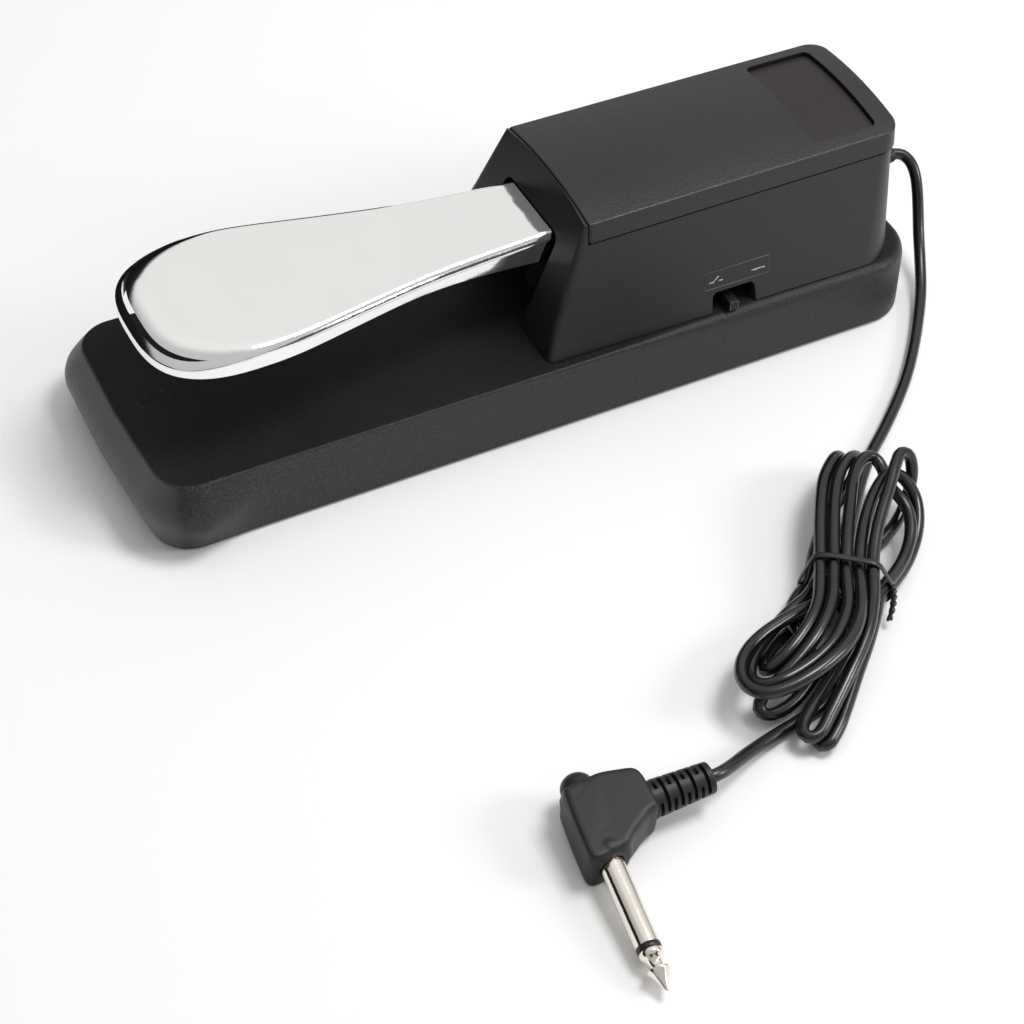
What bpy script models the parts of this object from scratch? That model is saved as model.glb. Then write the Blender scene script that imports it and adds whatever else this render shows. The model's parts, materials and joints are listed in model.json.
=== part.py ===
"""Sustain pedal: a chrome foot lever in a plastic housing, with its switch, cable coil and jack plug.

Frame: the floor is z = 0, the middle of the footprint is x = y = 0, the toe of the lever points
to -Y, the cable leaves at +Y and the polarity switch is on the +X wall. Lengths are in
millimetres and are scaled to metres when an object is finished. Every object is one closed
solid; neighbours keep a small gap.
"""

import math

import bmesh
import bpy
from mathutils import Matrix, Vector

for existing in list(bpy.data.objects):
    bpy.data.objects.remove(existing)

SCALE = 0.001
SHARP_ANGLE = 35                                # degrees; steeper edges are shaded sharp
GAP = 0.3                                       # between neighbouring pieces
X_AXIS, Y_AXIS, Z_AXIS = (1, 0, 0), (0, 1, 0), (0, 0, 1)

# ---- driving dimensions shared by several pieces (mm) --------------------------------------
BASE_FRONT, BASE_REAR = -118.0, 119.0           # floor outline of the plinth
BASE_HALF = 35.45
BASE_R_FRONT, BASE_R_REAR = 9.5, 15.0
BASE_WALL = 2.6
DECK = 22.2                                     # top of the plinth
DECK_THICK = 2.5
ON_DECK = DECK + GAP                            # underside of what stands on the plinth

CROWN_EDGE, CROWN_RISE, CROWN_HALF = 60.1, 2.4, 22.85
LID_SEAM = 54.5                                 # lower edge of the lid's side band
LID_FRONT, LID_REAR = 9.65, 110.8

PIVOT_Y, PIVOT_Z = 72.0, 45.5
PIVOT = (0, PIVOT_Y, PIVOT_Z)
AXLE_R = 3.0
AXLE_BORE_R = AXLE_R + 0.08
SPRING_Y = 28.0
SWITCH_Y = 50.0
CABLE_R, CABLE_Z = 1.62, 29.0

BRACKET_TOP = 24.5
BOARD_SEAT, BOARD_TOP = 27.1, 29.0              # top of the bosses under it, top of the board
CLAMP_SEAT, CLAMP_TOP = 27.2, 33.0

SCREW_R, SMALL_SCREW_R = 1.35, 1.05             # shanks
PILOT_R, SMALL_PILOT_R = SCREW_R + 0.1, SMALL_SCREW_R + 0.1
CLEARANCE_R = SCREW_R + 0.4


def both_sides(x, y):
    return ((x, y), (-x, y))


# Screw places (x, y).
HOUSING_SCREWS = both_sides(23, 14) + both_sides(21, 95)
BRACKET_SCREWS = both_sides(21, 65) + both_sides(21, 79)
PLATE_SCREWS = both_sides(24, -103) + both_sides(22.5, 106.5)
BOARD_SCREWS = ((-7.5, 56.2), (15.5, 56.2))
CLAMP_SCREWS = both_sides(7.5, 101)


# ---- outlines ------------------------------------------------------------------------------
def smooth_step(f):
    f = min(1.0, max(0.0, f))
    return f * f * (3 - 2 * f)


def arc(x, y, radius, start, stop, steps):
    """Points on an arc about (x, y), both ends included; angles in degrees."""
    angles = [math.radians(start + (stop - start) * i / steps) for i in range(steps + 1)]
    return [(x + radius * math.cos(a), y + radius * math.sin(a)) for a in angles]


def half_rect(half_width, y0, y1, r_front, r_rear, n=5, across=1, along=()):
    """Right half of a rounded rectangle, front centre to rear centre.

    half_width is a function of y, n the steps in a corner, across the steps in half an end
    and along the y of extra points on the side.
    """
    front = half_width(y0 + r_front) - r_front
    rear = half_width(y1 - r_rear) - r_rear
    points = [(front * i / across, y0) for i in range(across)]
    points += arc(front, y0 + r_front, r_front, -90, 0, n)
    points += [(half_width(y), y) for y in along if y0 + r_front < y < y1 - r_rear]
    points += arc(rear, y1 - r_rear, r_rear, 0, 90, n)
    return points + [(rear * (across - 1 - i) / across, y1) for i in range(across)]


def ring(half):
    """Closes a right half into a whole counter-clockwise outline."""
    return list(half) + [(-x, y) for x, y in reversed(half[1:-1])]


def level(outline, z):
    return [(x, y, z) for x, y in outline]


def inset(outline, amount):
    """Moves every point of a closed counter-clockwise outline inwards by amount(y)."""
    moved = []
    for i, (x, y) in enumerate(outline):
        before_x, before_y = outline[i - 1]
        after_x, after_y = outline[(i + 1) % len(outline)]
        edge_in = Vector((x - before_x, y - before_y)).normalized()
        edge_out = Vector((after_x - x, after_y - y)).normalized()
        tangent = (edge_in + edge_out).normalized()
        shift = amount(y) / max(0.5, tangent.dot(edge_in))
        moved.append((x - tangent.y * shift, y + tangent.x * shift))
    return moved


def edge_round(steps):
    """Stations round an upper edge: (share of the radius inwards, share below the top)."""
    angles = [math.radians(90 * k / steps) for k in range(steps + 1)]
    return [(1 - math.cos(a), 1 - math.sin(a)) for a in angles]


# ---- solids --------------------------------------------------------------------------------
def mesh_object(name, verts, faces):
    mesh = bpy.data.meshes.new(name)
    mesh.from_pydata([tuple(v) for v in verts], [], faces)
    bm = bmesh.new()
    bm.from_mesh(mesh)
    bmesh.ops.remove_doubles(bm, verts=bm.verts, dist=1e-5)
    bmesh.ops.recalc_face_normals(bm, faces=bm.faces)
    bm.to_mesh(mesh)
    bm.free()
    obj = bpy.data.objects.new(name, mesh)
    bpy.context.scene.collection.objects.link(obj)
    return obj


def skin(rings, wrap=False):
    """Quads between neighbouring rings; with wrap also from the last ring to the first."""
    size, faces = len(rings[0]), []
    for k in range(len(rings) if wrap else len(rings) - 1):
        this, following = k * size, (k + 1) % len(rings) * size
        for i in range(size):
            j = (i + 1) % size
            faces.append((this + i, this + j, following + j, following + i))
    return faces


def loft(name, rings, wrap=False):
    """Skins closed rings of equal length. Ends are capped, or joined to each other by wrap."""
    size = len(rings[0])
    verts = [v for r in rings for v in r]
    faces = skin(rings, wrap)
    if not wrap:
        faces += [tuple(range(size)), tuple(range(len(verts) - size, len(verts)))]
    return mesh_object(name, verts, faces)


def frame_of(axis):
    """Two directions square to the axis, and the axis itself, all of unit length."""
    along = Vector(axis).normalized()
    reference = Vector(Z_AXIS) if abs(along.z) < 0.9 else Vector(X_AXIS)
    side = reference.cross(along).normalized()
    return side, along.cross(side), along


def lathe(name, profile, centre, axis, n=24, closed=False, sweep=360):
    """Turns (radius, height) points about the axis by sweep degrees.

    An open profile starts and ends on the axis; a closed one joins its last point to its first.
    """
    side, up, along = frame_of(axis)
    centre, verts, faces, rows = Vector(centre), [], [], []
    whole = sweep == 360
    columns = n if whole else n + 1
    for radius, height in profile:
        if radius < 1e-9:
            verts.append(centre + along * height)
            rows.append([len(verts) - 1] * columns)
            continue
        row = []
        for i in range(columns):
            a = math.radians(sweep) * i / n
            spoke = (side * math.cos(a) + up * math.sin(a)) * radius
            verts.append(centre + along * height + spoke)
            row.append(len(verts) - 1)
        rows.append(row)
    pairs = list(zip(rows, rows[1:])) + ([(rows[-1], rows[0])] if closed else [])
    for this, following in pairs:
        for i in range(n):
            j = (i + 1) % columns
            face = tuple(dict.fromkeys((this[i], this[j], following[j], following[i])))
            if len(face) > 2:
                faces.append(face)
    if not whole:
        faces.append(tuple(row[0] for row in rows))
        faces.append(tuple(row[-1] for row in rows))
    return mesh_object(name, verts, faces)


def rod(name, start, end, radius, n=24):
    axis = Vector(end) - Vector(start)
    profile = [(0, 0), (radius, 0), (radius, axis.length), (0, axis.length)]
    return lathe(name, profile, start, axis, n)


def prism(name, outline, axis, start, end):
    """Extrudes a 2-D outline along x (outline in y, z), y (x, z) or z (x, y)."""
    place = {"x": lambda p, q, h: (h, p, q),
             "y": lambda p, q, h: (p, h, q),
             "z": lambda p, q, h: (p, q, h)}[axis]
    return loft(name, [[place(p, q, h) for p, q in outline] for h in (start, end)])


def block(name, x0, x1, y0, y1, z0, z1):
    return prism(name, [(x0, y0), (x1, y0), (x1, y1), (x0, y1)], "z", z0, z1)


def smooth_path(points, bend=16.0):
    """Centripetal Catmull-Rom curve, thinned so that straight stretches carry few sections.

    A section is kept after a turn of more than bend degrees or a stretch over longest.
    """
    longest = 11.0
    knots = [Vector(q) for q in points]
    knots = [knots[0] * 2 - knots[1]] + knots + [knots[-1] * 2 - knots[-2]]
    fine = []
    for i in range(1, len(knots) - 2):
        a, b, c, d = knots[i - 1:i + 3]
        k0, k1, k2 = ((b - a).length ** 0.5, (c - b).length ** 0.5, (d - c).length ** 0.5)
        slope_b = ((b - a) / k0 - (c - a) / (k0 + k1) + (c - b) / k1) * k1
        slope_c = ((c - b) / k1 - (d - b) / (k1 + k2) + (d - c) / k2) * k1
        for k in range(8):
            t = k / 8
            fine.append(b * (2 * t ** 3 - 3 * t ** 2 + 1) + slope_b * (t ** 3 - 2 * t ** 2 + t)
                        + c * (3 * t ** 2 - 2 * t ** 3) + slope_c * (t ** 3 - t ** 2))
    fine.append(knots[-2])
    kept = [fine[0]]
    heading = (fine[1] - fine[0]).normalized()
    for here, following in zip(fine[1:], fine[2:]):
        step = (following - here).normalized()
        turn = math.degrees(heading.angle(step, 0.0))
        stretch = (here - kept[-1]).length
        if (turn > bend and stretch > 0.5) or stretch > longest:
            kept.append(here)
            heading = step
    if (kept[-1] - fine[-1]).length < 1.0:
        kept.pop()
    return kept + [fine[-1]]


def tube(name, path, radius, n=8):
    """Sweeps a circle along the path, carrying its frame along without twist."""
    path = [Vector(q) for q in path]
    rings, normal, before = [], None, None
    for i, centre in enumerate(path):
        tangent = (path[min(i + 1, len(path) - 1)] - path[max(i - 1, 0)]).normalized()
        if normal is None:
            normal = frame_of(tangent)[0]
        else:
            axis = before.cross(tangent)
            if axis.length > 1e-9:
                normal = Matrix.Rotation(before.angle(tangent), 3, axis) @ normal
        before = tangent
        side = tangent.cross(normal).normalized()
        normal = side.cross(tangent).normalized()
        angles = [2 * math.pi * k / n for k in range(n)]
        rings.append([centre + (normal * math.cos(a) + side * math.sin(a)) * radius
                      for a in angles])
    return loft(name, rings)


def combine(obj, operation, others):
    for other in others:
        modifier = obj.modifiers.new("cut", "BOOLEAN")
        modifier.operation = operation
        modifier.solver = "EXACT"
        modifier.object = other
        graph = bpy.context.evaluated_depsgraph_get()
        mesh = bpy.data.meshes.new_from_object(obj.evaluated_get(graph))
        obj.modifiers.clear()
        obj.data = mesh
        bpy.data.objects.remove(other)
    return obj


def add(obj, *others):
    return combine(obj, "UNION", others)


def cut(obj, *others):
    return combine(obj, "DIFFERENCE", others)


def common(obj, *others):
    return combine(obj, "INTERSECT", others)


def drill(obj, spots, z0, z1, radius, n=12):
    for x, y in spots:
        cut(obj, rod("hole", (x, y, z0), (x, y, z1), radius, n))


def dress(obj, mat, place):
    """Scales a mesh built about its own origin to metres, places it and gives it its material."""
    obj.data.transform(Matrix.Scale(SCALE, 4))
    obj.location = Vector(place) * SCALE
    obj.data.materials.clear()
    obj.data.materials.append(mat)
    obj.data.shade_smooth()
    obj.data.set_sharp_from_angle(angle=math.radians(SHARP_ANGLE))
    obj.data.name = obj.name


def finish(obj, mat, origin=(0, 0, 0)):
    """Gives a mesh built in place its origin, its scale and its material."""
    obj.data.transform(Matrix.Translation(-Vector(origin)))
    dress(obj, mat, origin)


# ---- materials -----------------------------------------------------------------------------
def material(name, colour, roughness, metallic=0.0):
    mat = bpy.data.materials.new(name)
    mat.use_nodes = True
    shader = mat.node_tree.nodes["Principled BSDF"]
    shader.inputs["Base Color"].default_value = (*colour, 1)
    shader.inputs["Roughness"].default_value = roughness
    shader.inputs["Metallic"].default_value = metallic
    mat.diffuse_color = (*colour, 1)
    return mat


def metal(name, colour, roughness):
    return material(name, colour, roughness, metallic=1.0)


BLACK_ABS = material("black_abs", colour=(0.014, 0.014, 0.016), roughness=0.42)
GREY_ABS = material("grey_abs", colour=(0.062, 0.061, 0.068), roughness=0.40)
LID_ABS = material("lid_abs", colour=(0.066, 0.065, 0.072), roughness=0.38)
LABEL_GREY = material("label_grey", colour=(0.055, 0.048, 0.045), roughness=0.45)
CHROME = metal("chrome", colour=(0.80, 0.80, 0.80), roughness=0.06)
STEEL = metal("zinc_steel", colour=(0.50, 0.50, 0.50), roughness=0.35)
SPRING_STEEL = metal("spring_steel", colour=(0.42, 0.42, 0.43), roughness=0.30)
NICKEL = metal("nickel", colour=(0.72, 0.70, 0.66), roughness=0.18)
BRASS = metal("brass_pin", colour=(0.70, 0.53, 0.25), roughness=0.30)
RUBBER = material("black_rubber", colour=(0.018, 0.018, 0.018), roughness=0.85)
NYLON = material("white_nylon", colour=(0.72, 0.72, 0.68), roughness=0.50)
SWITCH_BLACK = material("switch_black", colour=(0.020, 0.020, 0.022), roughness=0.35)
BOARD_GREEN = material("board_green", colour=(0.03, 0.13, 0.05), roughness=0.45)
CABLE_PVC = material("cable_pvc", colour=(0.016, 0.015, 0.016), roughness=0.34)
BOOT_PVC = material("boot_pvc", colour=(0.045, 0.045, 0.048), roughness=0.48)
RED_PVC = material("wire_red_pvc", colour=(0.45, 0.03, 0.02), roughness=0.40)
WHITE_PVC = material("wire_white_pvc", colour=(0.75, 0.74, 0.70), roughness=0.40)
TIE_PVC = material("tie_pvc", colour=(0.020, 0.020, 0.022), roughness=0.45)


# ---- plinth --------------------------------------------------------------------------------
BASE_DRAFT_FRONT, BASE_DRAFT_REAR, BASE_DRAFT_SIDE = 1.2, 1.6, 0.7
BASE_FOOT = 0.5                                 # lower rim, above the mat's underside
RIM_BEVEL = 0.4
OUTER_LEVELS = (BASE_FOOT + 0.5, 6.5, 10.5, 12.5, 14.5)     # outer sections below the top edge
NOSE_OUT, NOSE_Z = 4.8, 12.5                    # how far the front end stands out, at what height
BOW = 1.6                                       # curve of the front edge
PLATE_Z0, PLATE_Z1 = 1.6, 4.1
MAT_THICK = 1.3


def shoulder(y):
    """Radius of the plinth's top edge: crisp at the front, soft beside and behind the housing."""
    return 0.8 + 2.4 * smooth_step((y - 5.0) / 60.0)


def plinth_outline(z, less=0.0):
    """Outline of the plinth at height z without its nose, less being taken off all round."""
    f = z / DECK
    return ring(half_rect(lambda y: BASE_HALF - less - f * (BASE_DRAFT_SIDE - 0.006 * y),
                          BASE_FRONT + f * BASE_DRAFT_FRONT + less,
                          BASE_REAR - f * BASE_DRAFT_REAR - less,
                          BASE_R_FRONT - less, BASE_R_REAR - less, 6, 1, [0, 20, 35, 50, 65]))


def nose(z):
    """How far the front end stands out past the upright wall at height z."""
    return NOSE_OUT * max(0.0, min(z / NOSE_Z, (DECK - z) / (DECK - NOSE_Z)))


def nosed(outline, moved, heights):
    """Pushes each point of moved outwards by the nose at its height, and bows the front edge."""
    points = []
    for i, ((x, y), z) in enumerate(zip(moved, heights)):
        before_x, before_y = outline[i - 1]
        after_x, after_y = outline[(i + 1) % len(outline)]
        tangent = Vector((after_x - before_x, after_y - before_y)).normalized()
        near_front = smooth_step((-90.0 - outline[i][1]) / 18.0)
        x += tangent.y * nose(z) * near_front
        y -= tangent.x * nose(z) * near_front
        points.append((x, y + BOW * ((x / BASE_HALF) ** 2 - 0.4) * near_front, z))
    return points


def outer_ring(z, less=0.0):
    outline = plinth_outline(z, less)
    return nosed(outline, outline, [z] * len(outline))


def build_base():
    # From the ceiling of the hollow down its wall, round the rim and up the outside.
    rings = [level(plinth_outline(z, BASE_WALL), z) for z in (DECK - DECK_THICK, BASE_FOOT)]
    rings.append(outer_ring(BASE_FOOT, RIM_BEVEL))
    rings += [outer_ring(z) for z in OUTER_LEVELS]
    top = plinth_outline(DECK)
    for inward, down in edge_round(3):
        moved = inset(top, lambda y: shoulder(y) * inward)
        rings.append(nosed(top, moved, [DECK - shoulder(y) * down for x, y in top]))
    base = loft("base_shell", rings)

    in_ceiling = DECK - DECK_THICK + 0.6        # bosses and ribs run a little into the deck
    in_deck = DECK - 0.6
    for spots, z0, z1, radius in ((PLATE_SCREWS, 4.4, in_ceiling, 3.4),
                                  (BRACKET_SCREWS, 10.0, in_ceiling, 3.2),
                                  (BOARD_SCREWS, in_deck, BOARD_SEAT, 2.6),
                                  (CLAMP_SCREWS, in_deck, CLAMP_SEAT, 3.0)):
        for x, y in spots:
            add(base, rod("boss", (x, y, z0), (x, y, z1), radius, 14))
    for x in (-12, 12):
        add(base, block("rib", x - 0.8, x + 0.8, -108, 106, 9, in_ceiling))
    drill(base, PLATE_SCREWS, 3, 17, PILOT_R)
    drill(base, BRACKET_SCREWS, 11, 30, PILOT_R)
    drill(base, HOUSING_SCREWS, 10, 30, CLEARANCE_R)
    drill(base, BOARD_SCREWS + CLAMP_SCREWS, 20.5, 30, SMALL_PILOT_R)
    finish(base, BLACK_ABS)


def closing_outline(less):
    """Outline of the sheets that close the plinth from below."""
    return ring(half_rect(lambda y: BASE_HALF - BASE_WALL - less,
                          BASE_FRONT + BASE_WALL + less + 0.4,
                          BASE_REAR - BASE_WALL - less - 0.4,
                          BASE_R_FRONT - BASE_WALL, BASE_R_REAR - BASE_WALL))


def build_bottom_plate():
    plate = prism("bottom_plate", closing_outline(0.4), "z", PLATE_Z0, PLATE_Z1)
    # Countersunk from below.
    hole = [(0, 9), (CLEARANCE_R, 9), (CLEARANCE_R, 2.95), (3.5, 1.2), (3.5, 0), (0, 0)]
    for x, y in PLATE_SCREWS:
        cut(plate, lathe("hole", hole, (x, y, 0), Z_AXIS, 16))
    finish(plate, STEEL)


def build_rubber_mat():
    finish(prism("rubber_mat", closing_outline(0.5), "z", 0.0, MAT_THICK), RUBBER)


# ---- screws --------------------------------------------------------------------------------
def cross_recess(size, z0, z1):
    """A cross-shaped driver recess as one twelve-sided prism."""
    w, l = size * 0.16, size * 0.55             # half width and half length of an arm
    corners = [(w, w), (w, l), (-w, l), (-w, w), (-l, w), (-l, -w),
               (-w, -w), (-w, -l), (w, -l), (w, -w), (l, -w), (l, w)]
    turn = Matrix.Rotation(math.radians(8), 2)
    return prism("cross", [tuple(turn @ Vector(c)) for c in corners], "z", z0, z1)


def pan_screw(head_r, head_h, shank_r, length):
    """Head seat at height 0, head above, shank below."""
    profile = [(0, head_h), (head_r * 0.7, head_h), (head_r, head_h * 0.4), (head_r, 0),
               (shank_r, 0), (shank_r, -length + shank_r), (0, -length)]
    return cut(lathe("screw", profile, (0, 0, 0), Z_AXIS, 12),
               cross_recess(head_r, head_h * 0.4, head_h + 1))


def flat_screw(head_r, head_h, shank_r, length):
    """Countersunk screw with the top of its head at height 0."""
    profile = [(0, 0), (head_r, 0), (shank_r, -head_h), (shank_r, -length + shank_r),
               (0, -length)]
    return cut(lathe("screw", profile, (0, 0, 0), Z_AXIS, 12),
               cross_recess(head_r, -head_h * 0.6, 1))


def place_screws(screw, stem, spots, z, head_down=False):
    """Puts numbered copies of the screw at the spots, then removes it."""
    if head_down:
        screw.data.transform(Matrix.Rotation(math.pi, 4, "X"))
    for i, (x, y) in enumerate(spots):
        obj = bpy.data.objects.new(f"{stem}_{i + 1}", screw.data.copy())
        bpy.context.scene.collection.objects.link(obj)
        dress(obj, STEEL, (x, y, z))
    bpy.data.objects.remove(screw)


def large_screw():
    return pan_screw(head_r=2.8, head_h=2.0, shank_r=SCREW_R, length=12)


def small_screw(length):
    return pan_screw(head_r=2.2, head_h=1.6, shank_r=SMALL_SCREW_R, length=length)


def build_screws():
    plate_screw = flat_screw(head_r=3.0, head_h=1.5, shank_r=SCREW_R, length=14)
    place_screws(plate_screw, "plate_screw", PLATE_SCREWS, PLATE_Z0 + 0.05, head_down=True)
    place_screws(large_screw(), "housing_screw", HOUSING_SCREWS, DECK - DECK_THICK - GAP,
                 head_down=True)
    place_screws(large_screw(), "bracket_screw", BRACKET_SCREWS, BRACKET_TOP + GAP)
    place_screws(small_screw(7.5), "board_screw", BOARD_SCREWS, BOARD_TOP + GAP)
    place_screws(small_screw(11.5), "clamp_screw", CLAMP_SCREWS, CLAMP_TOP + GAP)


# ---- housing -------------------------------------------------------------------------------
HOUSING_WALL = 2.2
HOUSING_REAR = 111.8
HOUSING_FOOT_HALF = 32.5                        # half width at the deck, at y = 50
FRONT_FOOT, FRONT_LEAN = -4.2, 0.335            # front face at the deck, its lean per mm of height
SLOT_HALF, SLOT_TOP, SLOT_R = 14.7, 51.5, 3.0   # opening for the lever
NOTCH_Y0, NOTCH_Y1, NOTCH_TOP = 48.0, 61.3, 28.3    # opening for the polarity knob
LOFT_TOP = 66.0                                 # shell height before the crown is cut
FAR_ABOVE, FAR_BELOW = 90.0, 40.0               # heights well clear of the crown


def crown(x):
    return CROWN_EDGE + CROWN_RISE * (1 - (x / CROWN_HALF) ** 2)


def crown_space(drop, z_far):
    """The space between the crown lowered by drop and the height z_far."""
    half, n = 34.0, 20
    stations = [-half + 2 * half * i / n for i in range(n + 1)]
    edge = [(x, crown(x) - drop) for x in stations]
    return prism("crown", edge + [(half, z_far), (-half, z_far)], "y", -20.0, 130.0)


def side_at(y, z):
    """Half width of the tapering housing."""
    top = CROWN_HALF - 0.006 * (y - 50)
    foot = HOUSING_FOOT_HALF + 0.012 * (y - 50)
    return top + (foot - top) * (CROWN_EDGE - z) / (CROWN_EDGE - DECK)


def rear_radius(z):
    return 14.0 - 8.5 * (z - DECK) / (CROWN_EDGE - DECK)


def housing_ring(z, less=0.0):
    front = FRONT_FOOT + FRONT_LEAN * (z - DECK)
    rear = HOUSING_REAR - 1.5 * (z - DECK) / (LID_SEAM - DECK)
    narrower = GAP if z == LOFT_TOP else 0.0    # at the top only
    half = half_rect(lambda y: side_at(y, z) - narrower - less, front + less, rear - less,
                     max(2.5 - less, 0.6), max(rear_radius(z) - less, 1.0), 6)
    return level(ring(half), z)


def build_housing():
    housing = loft("housing_shell", [housing_ring(LOFT_TOP, HOUSING_WALL),
                                     housing_ring(ON_DECK, HOUSING_WALL),
                                     housing_ring(ON_DECK), housing_ring(LOFT_TOP)], wrap=True)
    cut(housing, crown_space(0.12, FAR_ABOVE))
    cut(housing, block("above_seam", -50, 50, LID_FRONT - 0.35, 140, LID_SEAM - GAP, FAR_ABOVE))
    # Screw bosses, each tied to the side wall by a web.
    for x, y in HOUSING_SCREWS:
        wall_x = math.copysign(28.6, x)
        boss = rod("boss", (x, y, ON_DECK), (x, y, 34), 3.5, 14)
        add(boss, block("web", *sorted((x, wall_x)), y - 0.8, y + 0.8, ON_DECK, 32.5))
        add(housing, boss)
    drill(housing, HOUSING_SCREWS, 10, 33, PILOT_R)

    corner = arc(SLOT_HALF - SLOT_R, SLOT_TOP - SLOT_R, SLOT_R, 0, 90, 5)
    slot = [(-SLOT_HALF, 10), (SLOT_HALF, 10)] + corner + [(-x, z) for x, z in reversed(corner)]
    cut(housing, prism("slot", slot, "y", -20, 12.5))
    notch = [(NOTCH_Y0, 10), (NOTCH_Y1, 10), (NOTCH_Y1, NOTCH_TOP - 1), (NOTCH_Y1 - 1, NOTCH_TOP),
             (NOTCH_Y0 + 1, NOTCH_TOP), (NOTCH_Y0, NOTCH_TOP - 1)]
    cut(housing, prism("notch", notch, "x", 24, 50))
    cut(housing, rod("cable_hole", (0, 100, CABLE_Z), (0, 120, CABLE_Z), 4.7))
    finish(housing, GREY_ABS)


# ---- lid and label -------------------------------------------------------------------------
LID_ACROSS = 5                                  # steps in half the lid's width
LID_EDGE_R = 0.7
LID_THICK, LID_THICK_REAR = 2.6, 4.6            # the thicker part lies under the label
LID_WALL = 2.3
POCKET_HALF, POCKET_Y0, POCKET_Y1, POCKET_DEPTH, POCKET_R = 18.6, 83.5, 104.5, 1.9, 2.0
LABEL_THICK = 0.6


def lid_outline(z, less=0.0):
    rear = LID_REAR + 0.3 * (CROWN_EDGE - z) / (CROWN_EDGE - LID_SEAM) - less
    return ring(half_rect(lambda y: side_at(y, z) - less, LID_FRONT + less, rear,
                          max(1.2 - less, 0.4), max(rear_radius(z) - less, 1.0),
                          5, LID_ACROSS, [35, 60, 85]))


def crowned_loft(name, rings):
    """A loft with a flat lower cap and an upper cap of quads that follow the crown."""
    size, across = len(rings[0]), LID_ACROSS
    half, last = size // 2, (len(rings) - 1) * size
    verts = [v for r in rings for v in r]
    faces = skin(rings) + [tuple(range(size))]
    rows = []                                   # vertices from left to right, front row first
    for k in range(across, half - across + 1):
        right, left = last + k, last + (size - k) % size
        if k == across:
            row = [last + (size - across + i) % size for i in range(2 * across + 1)]
        elif k == half - across:
            row = [last + half + across - i for i in range(2 * across + 1)]
        else:
            row = [left]
            for i in range(1, 2 * across):
                f = i / (2 * across)
                x = verts[left][0] * (1 - f) + verts[right][0] * f
                verts.append((x, verts[left][1], crown(x)))
                row.append(len(verts) - 1)
            row.append(right)
        rows.append(row)
    for this, following in zip(rows, rows[1:]):
        for i in range(2 * across):
            faces.append((this[i], this[i + 1], following[i + 1], following[i]))
    return mesh_object(name, verts, faces)


def build_lid():
    rings = [level(lid_outline(LID_SEAM), LID_SEAM)]
    top = lid_outline(CROWN_EDGE)
    for inward, down in edge_round(2):
        moved = inset(top, lambda y: LID_EDGE_R * inward)
        rings.append([(x, y, crown(x) - LID_EDGE_R * down) for x, y in moved])
    lid = crowned_loft("lid", rings)

    hollow = prism("hollow", lid_outline(LID_SEAM, LID_WALL), "z", 50, 70)
    common(hollow, crown_space(LID_THICK, FAR_BELOW))
    cut(hollow, common(block("keep", -40, 40, 81, 120, 50, 70),
                       crown_space(LID_THICK_REAR, FAR_ABOVE)))
    cut(lid, hollow)
    cut(lid, common(label_blank("pocket", 0.0), crown_space(POCKET_DEPTH, FAR_ABOVE)))
    # Three hooks on each side, their barbs pointing outwards.
    for y in (24, 52, 90):
        for s in (-1, 1):
            hook = block("hook", *sorted((s * 18.4, s * 20.0)), y - 3, y + 3,
                         49.0, crown(19) - 1.6)
            barb = [(s * 19.5, 49.4), (s * 20.7, 50.6), (s * 19.5, 51.4)]
            add(hook, prism("barb", barb, "y", y - 3, y + 3))
            add(lid, hook)
    finish(lid, LID_ABS)


def label_blank(name, less):
    """Upright rounded block on the pocket's outline, less being taken off all round."""
    half = half_rect(lambda y: POCKET_HALF - less, POCKET_Y0 + less, POCKET_Y1 - less,
                     POCKET_R, POCKET_R, 4)
    return prism(name, ring(half), "z", 50, 70)


def build_label():
    label = label_blank("label_plate", GAP)
    top_drop = POCKET_DEPTH - LABEL_THICK - 0.1
    common(label, crown_space(top_drop + LABEL_THICK, FAR_ABOVE), crown_space(top_drop, FAR_BELOW))
    finish(label, LABEL_GREY)


# ---- lever ---------------------------------------------------------------------------------
TREAD_MAX_Y, TOE_Y, TREAD_HALF, TOE_POWER = -84.0, -112.2, 24.9, 2.9
ARM_HALF, ARM_END = 12.8, 94.0
# Plan of the lever behind the tread: (y, half width).
NECK = ((TREAD_MAX_Y, TREAD_HALF), (-76, 24.3), (-68, 23.1), (-60, 21.55), (-52, 20.0),
        (-44, 18.5), (-36, 17.1), (-28, 15.95), (-20, 15.05), (-12, 14.3), (-4, 13.6),
        (4, 13.05), (14, ARM_HALF))
NECK_STEP = 8.0
LEVER_TOP_TOE, LEVER_TOP_SLOPE, ARM_TOP = 54.3, 0.030, 50.7
LEVER_UNDER, ARM_UNDER = 46.9, 41.5             # underside at the toe and at the arm
LEVER_SHELL = 1.9
LEVER_BEVEL = 0.7
HOLLOW_END = -8.0                               # rear end of the hollow under the tread
HUB_R, HUB_BORE_R = 6.5, 4.6


def neck_half(y):
    for (y0, half0), (y1, half1) in zip(NECK, NECK[1:]):
        if y <= y1:
            return half0 + (half1 - half0) * (y - y0) / (y1 - y0)


def lever_outline(neck_stop, tail):
    """Superellipse toe, neck stations short of neck_stop, then the points of the tail."""
    reach, n = TREAD_MAX_Y - TOE_Y, 10
    half = []
    for i in range(n):
        a = math.radians(90 * i / n)
        half.append((TREAD_HALF * math.sin(a) ** (2 / TOE_POWER),
                     TREAD_MAX_Y - reach * math.cos(a) ** (2 / TOE_POWER)))
    y = TREAD_MAX_Y
    while y < neck_stop:
        half.append((neck_half(y), y))
        y += NECK_STEP
    return ring(half + tail)


def lever_top(y):
    return max(LEVER_TOP_TOE - LEVER_TOP_SLOPE * (y + 105), ARM_TOP)


def lever_under(y):
    f = min(1.0, max(0.0, (y + 44) / 48))
    return LEVER_UNDER - (LEVER_UNDER - ARM_UNDER) * f ** 1.6


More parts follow.
